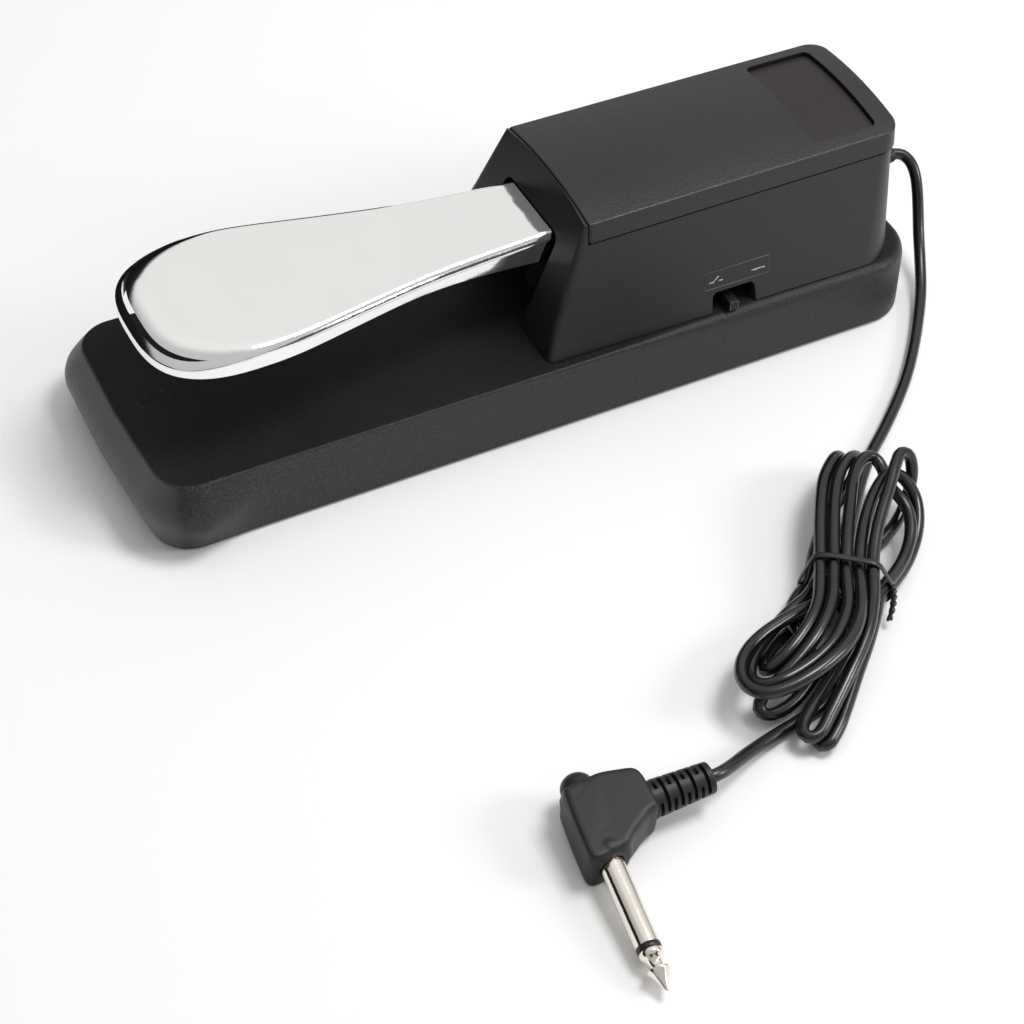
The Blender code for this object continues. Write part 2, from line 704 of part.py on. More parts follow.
def lever_round(y):
    """Radius of the lever's top edge, largest at the toe."""
    return 4.2 - 2.6 * smooth_step((y - TOE_Y) / 28)


def strip_loft(name, rings):
    """A loft whose two caps are strips from side to side, for caps that aren't flat."""
    n = len(rings[0])
    half = n // 2
    faces = skin(rings)
    for start in (0, (len(rings) - 1) * n):
        for k in range(half - 1):
            right = (k, k + 1) if k < half - 2 else (k, k + 1, k + 2)
            corners = right + (n - k - 1, n - k)
            faces.append(tuple(dict.fromkeys(start + q % n for q in corners)))
    return mesh_object(name, [v for r in rings for v in r], faces)


def build_lever():
    outline = lever_outline(16, [(ARM_HALF, 40), (ARM_HALF, ARM_END - 2),
                                 (ARM_HALF - 0.6, ARM_END - 0.6), (ARM_HALF - 2, ARM_END),
                                 (0, ARM_END)])
    rings = [[(x, y, lever_under(y)) for x, y in inset(outline, lambda y: LEVER_BEVEL)],
             [(x, y, lever_under(y) + LEVER_BEVEL) for x, y in outline]]
    for inward, down in edge_round(3):
        moved = inset(outline, lambda y: lever_round(y) * inward)
        heights = [lever_top(y) - lever_round(y) * down for x, y in outline]
        rings.append([(x, y, z) for (x, y), z in zip(moved, heights)])
    lever = strip_loft("pedal_lever", rings)

    hollow = lever_outline(HOLLOW_END - 1, [(neck_half(HOLLOW_END), HOLLOW_END), (0, HOLLOW_END)])
    hollow = inset(hollow, lambda y: LEVER_SHELL)
    ceiling = [(x, y, lever_top(y) - LEVER_SHELL) for x, y in hollow]
    cut(lever, strip_loft("hollow", [level(hollow, 38.0), ceiling]))
    add(lever, rod("hub", (-ARM_HALF, PIVOT_Y, PIVOT_Z), (ARM_HALF, PIVOT_Y, PIVOT_Z), HUB_R))
    add(lever, rod("spring_boss", (0, SPRING_Y, 38.5), (0, SPRING_Y, ARM_UNDER + 1), 4.4, 16))
    cut(lever, rod("bore", (-30, PIVOT_Y, PIVOT_Z), (30, PIVOT_Y, PIVOT_Z), HUB_BORE_R))
    finish(lever, CHROME, PIVOT)


# ---- pivot ---------------------------------------------------------------------------------
# Profiles are (radius, distance from the middle plane x = 0).
BUSH_R = HUB_BORE_R - 0.1
BUSH_PROFILE = [(AXLE_BORE_R, 5.5), (BUSH_R, 5.5), (BUSH_R, 12.95), (HUB_R, 12.95),
                (HUB_R, 14.3), (AXLE_BORE_R, 14.3)]
CLIP_PROFILE = [(2.45, 17.15), (4.8, 17.15), (4.8, 17.85), (2.45, 17.85)]
AXLE_HALF_PROFILE = [(AXLE_R, 17.0), (2.3, 17.0), (2.3, 18.0), (AXLE_R, 18.0),
                     (AXLE_R, 18.9), (2.7, 19.2), (0, 19.2)]
EAR_R = 7.5
EAR_INNER, EAR_OUTER = 14.6, 16.6


def build_bushes_and_clips():
    for s, word in ((-1, "left"), (1, "right")):
        bush = lathe(f"pivot_bush_{word}", BUSH_PROFILE, PIVOT, (s, 0, 0), closed=True)
        finish(bush, NYLON, PIVOT)
        clip = lathe(f"axle_clip_{word}", CLIP_PROFILE, PIVOT, (s, 0, 0), 14, closed=True,
                     sweep=290)
        finish(clip, STEEL)


def build_axle():
    mirrored = [(r, -h) for r, h in reversed(AXLE_HALF_PROFILE)]
    finish(lathe("pivot_axle", mirrored + AXLE_HALF_PROFILE, PIVOT, X_AXIS), STEEL)


def build_bracket():
    bracket = block("pivot_bracket", -25, 25, 61.2, 84, ON_DECK, BRACKET_TOP)
    ear = [(63, 24.0), (81, 24.0), (79.5, 44.5)]
    ear += arc(PIVOT_Y, PIVOT_Z, EAR_R, 0, 180, 8) + [(64.5, 44.5)]
    for s in (-1, 1):
        add(bracket, prism("ear", ear, "x", *sorted((s * EAR_INNER, s * EAR_OUTER))))
    cut(bracket, rod("bore", (-30, PIVOT_Y, PIVOT_Z), (30, PIVOT_Y, PIVOT_Z), AXLE_BORE_R))
    drill(bracket, BRACKET_SCREWS, 20, 30, 1.7)
    finish(bracket, STEEL)


# ---- spring, seat and stops ----------------------------------------------------------------
SPRING_R, SPRING_WIRE_R = 6.0, 0.7
SPRING_LOW, SPRING_HIGH = 25.85, 40.4           # wire centre at the two ends
SPRING_TURNS, SPRING_STEPS = 6, 12              # turns, and steps in each
SPRING_END_RISE = 1.8                           # rise over each end turn
# Profiles are (radius, z).
SEAT_PROFILE = [(0, 29.0), (3.9, 29.0), (4.5, 28.3), (4.5, 24.8), (7.9, 24.8), (7.9, 26.3),
                (9.0, 26.3), (9.0, ON_DECK), (0, ON_DECK)]
REST_PROFILE = [(0, 41.2), (2.8, 41.2), (3.8, 40.4), (4.5, 23.5), (4.5, ON_DECK), (0, ON_DECK)]
DOWN_STOP_PROFILE = [(0, 34.5), (2.8, 34.5), (4.0, 33.6), (5.6, 23.5), (6.0, ON_DECK),
                     (0, ON_DECK)]


def build_spring():
    middle_rise = SPRING_HIGH - SPRING_LOW - 2 * SPRING_END_RISE
    path = []
    for i in range(SPRING_TURNS * SPRING_STEPS + 1):
        turn = i / SPRING_STEPS
        if turn <= 1:
            z = SPRING_LOW + SPRING_END_RISE * turn
        elif turn >= SPRING_TURNS - 1:
            z = SPRING_HIGH - SPRING_END_RISE * (SPRING_TURNS - turn)
        else:
            z = SPRING_LOW + SPRING_END_RISE + middle_rise * (turn - 1) / (SPRING_TURNS - 2)
        a = 2 * math.pi * turn
        path.append((SPRING_R * math.cos(a), SPRING_Y + SPRING_R * math.sin(a), z))
    finish(tube("return_spring", path, SPRING_WIRE_R, 6), SPRING_STEEL)


def build_seat_and_stops():
    finish(lathe("spring_seat", SEAT_PROFILE, (0, SPRING_Y, 0), Z_AXIS, 18), NYLON)
    finish(lathe("rest_bumper", REST_PROFILE, (-5, 88.5, 0), Z_AXIS, 14), RUBBER)
    finish(lathe("down_stop_bumper", DOWN_STOP_PROFILE, (0, 12, 0), Z_AXIS, 16), RUBBER)


# ---- switches ------------------------------------------------------------------------------
MICRO_PINS = [(8 * k, SWITCH_Y) for k in (-1, 0, 1)]
SLIDE_PINS = [(22.5, 54.0 + 4.5 * k) for k in (-1, 0, 1)]
PIN_R = 0.5
PLUNGER_TOP = 41.2
KNOB_Y0, KNOB_WIDE = 52.0, 3.2


def build_board():
    board = block("switch_board", -11.0, 27.0, 44.5, 62.0, BOARD_SEAT + GAP, BOARD_TOP)
    drill(board, MICRO_PINS + SLIDE_PINS, 20, 40, 0.75, 8)
    drill(board, BOARD_SCREWS, 20, 40, 1.35)
    finish(board, BOARD_GREEN)


def build_microswitch():
    body = block("microswitch_body", -10, 10, SWITCH_Y - 3.2, SWITCH_Y + 3.2,
                 BOARD_TOP + GAP, 37.9)
    cut(body, rod("well", (0, SWITCH_Y, 33.0), (0, SWITCH_Y, 45), 1.62, 16))
    for x in (-7.4, 7.4):
        cut(body, rod("fixing", (x, 40, 32.2), (x, 60, 32.2), 1.1, 12))
    finish(body, SWITCH_BLACK)
    profile = [(0, PLUNGER_TOP), (0.7, 41.15), (1.25, 40.8), (1.5, 40.2), (1.5, 35.6), (0, 35.6)]
    plunger = lathe("microswitch_plunger", profile, (0, SWITCH_Y, 0), Z_AXIS, 16)
    finish(plunger, RED_PVC, (0, SWITCH_Y, PLUNGER_TOP))


def build_polarity_switch():
    body = block("polarity_switch_body", 19.5, 25.5, 47.5, 60.6, 22.7, 27.0)
    cut(body, block("track", 22.0, 30, 50.2, 58.4, 23.5, 26.1))
    finish(body, STEEL)

    knob_y1 = KNOB_Y0 + KNOB_WIDE
    knob = block("polarity_knob", 25.8, 34.0, KNOB_Y0, knob_y1, 22.8, 25.7)
    # Soften the edges of the outer face.
    bm = bmesh.new()
    bm.from_mesh(knob.data)
    edges = [e for e in bm.edges if min(v.co.x for v in e.verts) > 33]
    bmesh.ops.bevel(bm, geom=edges, offset=0.35, segments=2, affect="EDGES", profile=0.5)
    bm.to_mesh(knob.data)
    bm.free()
    add(knob, block("foot", 22.4, 26.5, KNOB_Y0 + 0.6, knob_y1 - 0.6, 23.9, 25.3))
    finish(knob, SWITCH_BLACK, (30, KNOB_Y0 + KNOB_WIDE / 2, 24.25))


def build_terminals():
    for stem, pins, z0, z1 in (("microswitch_terminal", MICRO_PINS, 25.0, 29.15),
                               ("polarity_terminal", SLIDE_PINS, 27.15, 30.2)):
        for i, (x, y) in enumerate(pins):
            finish(rod(f"{stem}_{i + 1}", (x, y, z0), (x, y, z1), PIN_R, 8), BRASS)


# ---- cable fixings -------------------------------------------------------------------------
def build_strain_relief():
    # (radius, y): flange inside the wall, groove in the hole, collar, ribbed tail, bore.
    profile = [(1.75, 106.4), (6.0, 106.4), (6.0, 108.8), (4.4, 108.8), (4.4, 112.0),
               (5.4, 112.0), (5.4, 113.2), (3.6, 113.8)]
    for k in range(4):
        r, y = 3.5 - 0.3 * k, 115.0 + 3.3 * k
        profile += [(r, y), (r - 0.5, y + 0.2), (r - 0.55, y + 1.2), (r - 0.1, y + 1.4)]
    profile += [(2.35, 128.6), (2.1, 128.6), (1.75, 126.0)]
    finish(lathe("strain_relief", profile, (0, 0, CABLE_Z), Y_AXIS, 16, closed=True), BOOT_PVC)


def build_clamp():
    groove_r = 1.85
    clamp = block("cable_clamp", -11, 11, 98.5, 103.5, CLAMP_SEAT + GAP, CLAMP_TOP)
    cut(clamp, block("groove", -groove_r, groove_r, 90, 110, 20, CABLE_Z),
        rod("groove", (0, 90, CABLE_Z), (0, 110, CABLE_Z), groove_r, 12))
    drill(clamp, CLAMP_SCREWS, 20, 40, 1.3)
    finish(clamp, NYLON)


# ---- cable ---------------------------------------------------------------------------------
# The coil lies on the floor in its own frame: s along its strands, away from the pedal, and
# t across them. It is wound inwards in a lower layer and outwards again in an upper one.
COIL_MID, COIL_U = (118.3, 41.8), (0.680, -0.733)   # centre, and direction of s
COIL_HALVES = (10.4, 6.6, 2.9)                  # t of the strands, outer loop first
COIL_NEAR, COIL_FAR = 45.0, 57.0                # reach of the outer loop's two ends
COIL_STEP = 3.75                                # from loop to loop, and from layer to layer
COIL_STATIONS = (-27, -18, -9, 0, 9, 20, 31, 42)    # s along a strand
LAYER_LOW = CABLE_R + 0.1
LAYER_HIGH = LAYER_LOW + COIL_STEP
BOOT_ARM_ROOT, BOOT_ARM_END = Vector((160.9, -60.7, 7.2)), Vector((162.3, -29.6, 8.4))
BOOT_ARM = BOOT_ARM_END - BOOT_ARM_ROOT

LEAD_STRAIGHT_Y = (94.5, 104, 113, 121, 128.4)
# From the strain relief down to the floor (x, y, z).
LEAD_DROP = [(1.0, 131.6, 28.6), (3.4, 133.2, 27.2), (6.3, 133.6, 24.6), (9.2, 133.2, 21.0),
             (12.6, 132.2, 16.4), (17.2, 130.4, 11.2), (23.8, 127.4, 6.6), (32.2, 122.6, 3.4),
             (41.2, 115.8, 2.0)]
LEAD_FLOOR = [(51.4, 107.1), (60.9, 97.9), (69.7, 87.8), (76.5, 78.8)]      # (x, y)
LEAD_COIL = [(-47.9, -7.2), (-43.0, -9.4), (-38.0, -11.5), (-32.0, -12.4)]  # (s, t)


def coil_point(s, t, z):
    return (COIL_MID[0] + COIL_U[0] * s - COIL_U[1] * t,
            COIL_MID[1] + COIL_U[1] * s + COIL_U[0] * t, z)


def bulge(s):
    """The strands are pressed together at the tie, s = 0, and spread towards the near end."""
    return 1.0 + 0.20 * smooth_step(-s / 26.0)


def lift(s):
    """Height that the tie's thickness adds at the middle."""
    return 0.9 * math.exp(-(s / 16.0) ** 2)


def coil_turn(t0, t1, z0, z1, near, reach):
    """Half-turn from strand t0 to strand t1 round the near or far end, reaching out to reach."""
    wide = bulge(-40.0) if near else 1.0
    mid, half = (t0 + t1) / 2 * wide, (t0 - t1) / 2 * wide
    sign = -1.0 if near else 1.0
    start = sign * (reach - abs(half))
    points = []
    for k in range(7):
        a = math.radians(30 * k)
        points.append(coil_point(start + sign * abs(half) * math.sin(a),
                                 mid + half * math.cos(a), z0 + (z1 - z0) * smooth_step(k / 6)))
    return points


def coil_run(t, z, outbound):
    stations = COIL_STATIONS if outbound else reversed(COIL_STATIONS)
    return [coil_point(s, t * bulge(s), z + lift(s)) for s in stations]


def coil_loop(i, z):
    """Loop i: out along one strand, round the far end and back along the other."""
    t = COIL_HALVES[i]
    return (coil_run(-t, z, True) + coil_turn(-t, t, z, z, False, COIL_FAR - i * COIL_STEP)
            + coil_run(t, z, False))


def near_turn(i, j, z):
    """Joins loop i to loop j of the same layer at the near end."""
    reach = COIL_NEAR - min(i, j) * COIL_STEP
    return coil_turn(COIL_HALVES[i], -COIL_HALVES[j], z, z, True, reach)


def build_cable():
    low, high = LAYER_LOW, LAYER_HIGH
    outer, inner = COIL_HALVES[0], COIL_HALVES[-1]
    path = [(0, y, CABLE_Z) for y in LEAD_STRAIGHT_Y] + LEAD_DROP + level(LEAD_FLOOR, low)
    path += [coil_point(s, t, low) for s, t in LEAD_COIL]
    path += coil_loop(0, low) + near_turn(0, 1, low) + coil_loop(1, low) + near_turn(1, 2, low)
    path += coil_loop(2, low)
    path += coil_turn(inner, -inner, low, high, True, COIL_NEAR - 2 * COIL_STEP - 2.0)
    path += coil_loop(2, high) + near_turn(2, 1, high) + coil_loop(1, high)
    path += near_turn(1, 0, high) + coil_run(-outer, high, True)
    # Off the coil and into the arm of the plug's boot.
    path += [coil_point(51, -11.0, high + 0.1), coil_point(60, -11.9, high + 0.4),
             (156.2, -15.9, 6.6), (160.6, -20.9, 7.7)]
    path += [BOOT_ARM_END + BOOT_ARM.normalized() * d for d in (4, 0, -4, -8)]
    finish(tube("cable", smooth_path(path), CABLE_R), CABLE_PVC)


def tie_ring(s, radius):
    """Rounded loop about the outer strands of both layers."""
    t, low, high = COIL_HALVES[0], LAYER_LOW + lift(0), LAYER_HIGH + lift(0)
    corners = ((t, high, 0), (-t, high, 90), (-t, low, 180), (t, low, 270))
    return [coil_point(s, *point) for corner_t, corner_z, start in corners
            for point in arc(corner_t, corner_z, radius, start, start + 90, 4)]


def build_twist_tie():
    sections = ((-0.9, 1.85), (-0.9, 2.45), (0.9, 2.45), (0.9, 1.85))       # (s, radius)
    tie = loft("twist_tie", [tie_ring(s, radius) for s, radius in sections], wrap=True)
    tail = ((0.0, 12.6, 4.4), (1.5, 14.5, 4.6), (4.5, 15.7, 3.6), (8.0, 15.3, 2.4))  # (s, t, z)
    add(tie, tube("tail", [coil_point(*point) for point in tail], 0.8))
    finish(tie, TIE_PVC)


# ---- wires from the cable's end to the board: (x, y, z) ------------------------------------
WIRE_R = 0.6
RED_PATH = [(0.75, 94.2, 29.3), (3, 91, 29.4), (9, 86.8, 29.7), (16, 83.2, 30.4),
            (19.8, 76, 31.2), (20.3, 68, 31.8), (18.6, 62.6, 32.2), (15, 61.2, 32.2),
            (11, 60.4, 31.7), (9.6, 60.2, 30.6), (9.5, 60.2, 29.3)]
WHITE_PATH = [(-0.75, 94.2, 28.7), (2.5, 90, 27.7), (9, 85.6, 27.8), (16, 82.9, 28.4),
              (19.6, 76, 29.1), (20.0, 68, 29.6), (18.4, 63, 30.0), (15, 61, 30.3),
              (13.2, 60.3, 30.1), (13, 60.2, 29.3)]


def build_wires():
    for name, path, mat in (("wire_red", RED_PATH, RED_PVC), ("wire_white", WHITE_PATH, WHITE_PVC)):
        finish(tube(name, smooth_path(path, bend=20), WIRE_R, 6), mat)


# ---- plug: profiles are (radius, distance from the root along the plug) --------------------
PLUG_ROOT, PLUG_DIR = (172.7, -62.8, 6.4), (32.3, -3.9, -2.9)
BOOT_R, BOOT_BACK = 6.0, 20.5
SLEEVE_R, SLEEVE_LONG = 3.175, 22.9
SLEEVE_BORE_R = 2.3
COLLAR_R, CORE_BORE_R = 3.05, 1.3               # insulator and tip collar, insulator's bore


def build_boot():
    # A socket for the sleeve at the front, a dome at the back.
    profile = [(0, -5.0), (3.3, -5.0), (3.3, 0), (5.2, 0), (5.8, -0.6), (BOOT_R, -2.0)]
    profile += arc(0, BOOT_R - BOOT_BACK, BOOT_R, 0, -90, 5)
    boot = lathe("plug_boot", profile, PLUG_ROOT, PLUG_DIR, 20)
    # The arm towards the cable: a thick root, a ribbed end and the cable's bore.
    end = BOOT_ARM.length
    arm = [(0, 1.3), (5.75, 1.3), (5.75, end - 17.6), (5.1, end - 17.0)]
    for k in range(4):
        h, r = end - 15.0 + 3.6 * k, 5.1 - 0.28 * k
        arm += [(r, h - 0.2), (r - 0.7, h), (r - 0.75, h + 1.4), (r - 0.1, h + 1.6)]
    arm += [(3.9, end), (2.4, end), (1.8, end - 3.0), (1.8, end - 9.5), (0, end - 9.5)]
    add(boot, lathe("arm", arm, BOOT_ARM_ROOT, BOOT_ARM, 18))
    finish(boot, BOOT_PVC)


def build_plug():
    end = SLEEVE_LONG
    sleeve = [(SLEEVE_BORE_R, -4.5), (SLEEVE_R, -4.5), (SLEEVE_R, end - 0.2),
              (SLEEVE_R - 0.2, end), (SLEEVE_BORE_R, end)]
    insulator = [(CORE_BORE_R, -2.0), (2.2, -2.0), (2.2, end + 0.1), (COLLAR_R, end + 0.1),
                 (COLLAR_R, end + 1.3), (CORE_BORE_R, end + 1.3)]
    tip = [(0, -3.0), (1.2, -3.0), (1.2, end + 1.4), (COLLAR_R, end + 1.4),
           (COLLAR_R, end + 2.6), (2.3, end + 3.4), (1.85, end + 4.8), (2.1, end + 5.6),
           (2.8, end + 6.5), (2.75, end + 7.0), (1.5, end + 9.4), (0.5, end + 11.6),
           (0, end + 11.9)]
    for name, profile, closed, mat in (("plug_sleeve", sleeve, True, NICKEL),
                                       ("plug_insulator", insulator, True, SWITCH_BLACK),
                                       ("plug_tip", tip, False, NICKEL)):
        finish(lathe(name, profile, PLUG_ROOT, PLUG_DIR, 22, closed=closed), mat)


for build in (build_base, build_bottom_plate, build_rubber_mat, build_screws,
              build_housing, build_lid, build_label,
              build_lever, build_bushes_and_clips, build_axle, build_bracket,
              build_spring, build_seat_and_stops,
              build_board, build_microswitch, build_polarity_switch, build_terminals,
              build_strain_relief, build_clamp, build_cable, build_twist_tie, build_wires,
              build_boot, build_plug):
    build()
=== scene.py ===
"""Looks of a sustain pedal: plinth, housing with lid, chrome lever, cable hank and plug.

It stands on z = 0 with its toe towards -Y. The cable leaves the housing at +Y and
lies in a tied hank on the +X side, where it ends in the plug. Lengths are in
millimetres until done() scales a finished piece to metres; materials are in metres.
"""
import json
from math import copysign, cos, pi, radians, sin, sqrt

import bmesh
import bpy
import numpy as np
from mathutils import Matrix, Vector


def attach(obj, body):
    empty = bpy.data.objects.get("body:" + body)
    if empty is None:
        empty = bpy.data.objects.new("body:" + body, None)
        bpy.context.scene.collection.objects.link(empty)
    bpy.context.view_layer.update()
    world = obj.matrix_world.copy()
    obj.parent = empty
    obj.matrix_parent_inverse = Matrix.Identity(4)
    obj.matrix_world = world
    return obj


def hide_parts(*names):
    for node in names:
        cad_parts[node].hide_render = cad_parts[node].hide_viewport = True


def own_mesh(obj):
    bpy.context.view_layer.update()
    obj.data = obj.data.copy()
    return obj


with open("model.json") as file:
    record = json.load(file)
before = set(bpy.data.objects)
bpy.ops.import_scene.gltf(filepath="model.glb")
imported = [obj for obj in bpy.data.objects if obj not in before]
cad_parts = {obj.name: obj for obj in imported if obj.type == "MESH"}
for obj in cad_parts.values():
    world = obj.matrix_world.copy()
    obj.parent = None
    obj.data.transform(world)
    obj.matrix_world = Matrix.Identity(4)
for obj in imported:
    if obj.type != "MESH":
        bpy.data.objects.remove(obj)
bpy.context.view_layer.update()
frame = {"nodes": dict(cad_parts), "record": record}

METRES = 0.001
scene = bpy.context.scene


# ---------------------------------------------------------------- numbers and outlines
def clamp(value):
    return min(1.0, max(0.0, value))


def ease(value):
    """Smooth step from 0 to 1."""
    part = clamp(value)
    return part * part * (3 - 2 * part)


def hermite(t, start, end, start_slope, end_slope):
    return ((2 * t ** 3 - 3 * t ** 2 + 1) * start + (t ** 3 - 2 * t ** 2 + t) * start_slope
            + (3 * t ** 2 - 2 * t ** 3) * end + (t ** 3 - t ** 2) * end_slope)


def half_rect(half_width, y0, y1, front_r, rear_r, steps=6, across=1, along=()):
    """The +X half of a rounded rectangle, front to rear; half_width is a function of y.

    across splits the half edges at both ends, along lists extra stations on the side.
    """
    front_x = half_width(y0 + front_r) - front_r
    rear_x = half_width(y1 - rear_r) - rear_r
    points = [(front_x * i / across, y0) for i in range(across)]
    for i in range(steps + 1):
        angle = -pi / 2 + i * pi / 2 / steps
        points.append((front_x + front_r * cos(angle), y0 + front_r + front_r * sin(angle)))
    points += [(half_width(y), y) for y in along if y0 + front_r < y < y1 - rear_r]
    for i in range(steps + 1):
        angle = i * pi / 2 / steps
        points.append((rear_x + rear_r * cos(angle), y1 - rear_r + rear_r * sin(angle)))
    points += [(rear_x * (across - 1 - i) / across, y1) for i in range(across)]
    return points


def ring(half):
    """Mirrors a half outline into a closed one."""
    return list(half) + [(-x, y) for x, y in reversed(half[1:-1])]


def inset(outline, amount):
    """Moves every point of a closed outline inwards by amount(x, y)."""
    moved = []
    for i, (x, y) in enumerate(outline):
        x0, y0 = outline[i - 1]
        x1, y1 = outline[(i + 1) % len(outline)]
        edge_in = Vector((x - x0, y - y0)).normalized()
        edge_out = Vector((x1 - x, y1 - y)).normalized()
        along = (edge_in + edge_out).normalized()
        shift = amount(x, y) / max(0.5, along.dot(edge_in))
        moved.append((x - along.y * shift, y + along.x * shift))
    return moved


def relaxed(outline, step, rounds):
    """Divides a closed outline about every step, then softens its corners."""
    points = [np.array(q) for q in outline]
    dense = []
    for i, start in enumerate(points):
        edge = points[(i + 1) % len(points)] - start
        count = max(1, int(np.linalg.norm(edge) / step))
        dense += [start + edge * j / count for j in range(count)]
    dense = np.array(dense)
    for _ in range(rounds):
        dense = 0.25 * np.roll(dense, 1, 0) + 0.5 * dense + 0.25 * np.roll(dense, -1, 0)
    return dense


def at_height(outline, z):
    return [(x, y, z) for x, y in outline]


def run_length(points):
    """Distance along a path at each of its points."""
    return np.r_[0, np.cumsum(np.linalg.norm(np.diff(points, axis=0), axis=1))]


def spline(points, step):
    """Centripetal Catmull-Rom through the points, resampled at an even spacing."""
    knots = [np.array(q, float) for q in points]
    knots = [2 * knots[0] - knots[1]] + knots + [2 * knots[-1] - knots[-2]]
    fine = []
    for before, start, end, after in zip(knots, knots[1:], knots[2:], knots[3:]):
        gap0 = np.linalg.norm(start - before) ** 0.5
        gap1 = np.linalg.norm(end - start) ** 0.5
        gap2 = np.linalg.norm(after - end) ** 0.5
        middle = (end - start) / gap1
        slope0 = ((start - before) / gap0 - (end - before) / (gap0 + gap1) + middle) * gap1
        slope1 = (middle - (after - start) / (gap1 + gap2) + (after - end) / gap2) * gap1
        fine += [hermite(k / 12, start, end, slope0, slope1) for k in range(12)]
    fine.append(knots[-2])
    fine = np.array(fine)
    length = run_length(fine)
    count = max(2, int(round(length[-1] / step)) + 1)
    stations = np.linspace(0, length[-1], count)
    return np.stack([np.interp(stations, length, fine[:, q]) for q in range(3)], axis=1)


# ---------------------------------------------------------------- meshes
def mesh_object(name, verts, faces):
    mesh = bpy.data.meshes.new(name)
    mesh.from_pydata([tuple(v) for v in verts], [], faces)
    work = bmesh.new()
    work.from_mesh(mesh)
    bmesh.ops.remove_doubles(work, verts=work.verts, dist=1e-5)
    bmesh.ops.recalc_face_normals(work, faces=work.faces)
    work.to_mesh(mesh)
    work.free()
    obj = bpy.data.objects.new(name, mesh)
    scene.collection.objects.link(obj)
    return obj


def walls(rings, wrap=False):
    """Faces between neighbouring rings; wrap also joins the last ring to the first."""
    count, faces = len(rings[0]), []
    for k in range(len(rings) if wrap else len(rings) - 1):
        low, high = k * count, (k + 1) % len(rings) * count
        for i in range(count):
            j = (i + 1) % count
            faces.append((low + i, low + j, high + j, high + i))
    return faces


def row_faces(low, high):
    return [(low[i], low[i + 1], high[i + 1], high[i]) for i in range(len(low) - 1)]


def crowned_cap(verts, start, count, crown, across):
    """Grid over the ring that begins at start; its inner points, at crown(x), join verts."""
    half, rows = count // 2, []
    for k in range(across, half - across + 1):
        right, left = start + k, start + (count - k) % count
        if k == across:
            row = [start + (count - across + i) % count for i in range(2 * across + 1)]
        elif k == half - across:
            row = [start + half + across - i for i in range(2 * across + 1)]
        else:
            row = [left]
            for i in range(1, 2 * across):
                part = i / (2 * across)
                x = verts[left][0] * (1 - part) + verts[right][0] * part
                verts.append((x, verts[left][1], crown(x)))
                row.append(len(verts) - 1)
            row.append(right)
        rows.append(row)
    return [face for low, high in zip(rows, rows[1:]) for face in row_faces(low, high)]


def loft(name, rings, wrap=False, crown=None, across=1):
    """Skin over rings of points, closed by flat caps or at the top by a crowned one."""
    count = len(rings[0])
    verts = [v for points in rings for v in points]
    faces = walls(rings, wrap)
    if not wrap:
        last = len(verts) - count
        faces.append(tuple(range(count)))
        if crown is None:
            faces.append(tuple(range(last, last + count)))
        else:
            faces += crowned_cap(verts, last, count, crown, across)
    return mesh_object(name, verts, faces)


def strip_cap(verts, start, count, divide):
    """Cap of strips that run from side to side, each split in divide parts."""
    rows, faces = [], []
    for k in range(count // 2 + 1):
        right, left = start + k, start + (count - k) % count
        if right == left:
            rows.append([right])
            continue
        row = [left]
        for i in range(1, divide):
            part = i / divide
            ends = zip(verts[left], verts[right])
            verts.append(tuple(a * (1 - part) + b * part for a, b in ends))
            row.append(len(verts) - 1)
        rows.append(row + [right])
    for low, high in zip(rows, rows[1:]):
        if len(low) == 1:
            faces += [(low[0], high[i], high[i + 1]) for i in range(len(high) - 1)]
        elif len(high) > 1:
            faces += row_faces(low, high)
        elif abs(verts[low[0]][1] - verts[high[0]][1]) < 1e-6:
            # the end point lies on the last strip's own line
            faces.append((low[0], high[0], *low[:0:-1]))
        else:
            faces += [(high[0], low[i + 1], low[i]) for i in range(len(low) - 1)]
    return faces


def strip_loft(name, rings, divide=1):
    """A loft with strip caps, whose split strips can carry smooth normals."""
    count = len(rings[0])
    verts = [v for points in rings for v in points]
    faces = walls(rings)
    for start in (0, (len(rings) - 1) * count):
        faces += strip_cap(verts, start, count, divide)
    return mesh_object(name, verts, faces)


def axes_of(axis):
    """Two unit vectors square to an axis, then the axis as a unit vector."""
    along = Vector(axis).normalized()
    reference = Vector((0, 0, 1)) if abs(along.z) < 0.9 else Vector((1, 0, 0))
    side = reference.cross(along).normalized()
    return side, along.cross(side), along


def circle(centre, side, up, radius, count):
    """Points round a centre; radius is a number or a function of the angle."""
    points = []
    for i in range(count):
        angle = 2 * pi * i / count
        reach = radius(angle) if callable(radius) else radius
        points.append(centre + (side * cos(angle) + up * sin(angle)) * reach)
    return points


def lathe(name, profile, centre, axis, count=48, closed=False):
    """Turns (radius, height) points round an axis; radius 0 gives a single point."""
    side, up, along = axes_of(axis)
    verts, rows, faces = [], [], []
    for radius, height in profile:
        middle = Vector(centre) + along * height
        start = len(verts)
        if radius < 1e-9:
            verts.append(middle)
            rows.append([start] * count)
        else:
            verts += circle(middle, side, up, radius, count)
            rows.append(list(range(start, start + count)))
    if closed:
        rows.append(rows[0])
    for low, high in zip(rows, rows[1:]):
        for i in range(count):
            j = (i + 1) % count
            face = tuple(dict.fromkeys((low[i], low[j], high[j], high[i])))
            if len(face) > 2:
                faces.append(face)
    return mesh_object(name, verts, faces)


def rod(name, start, end, radius, count=32):
    span = Vector(end) - Vector(start)
    profile = [(0, 0), (radius, 0), (radius, span.length), (0, span.length)]
    return lathe(name, profile, start, span, count)


def post(x, y, z0, z1, radius, count):
    return rod("post", (x, y, z0), (x, y, z1), radius, count)


def column(name, outline, z0, z1):
    return loft(name, [at_height(outline, z) for z in (z0, z1)])


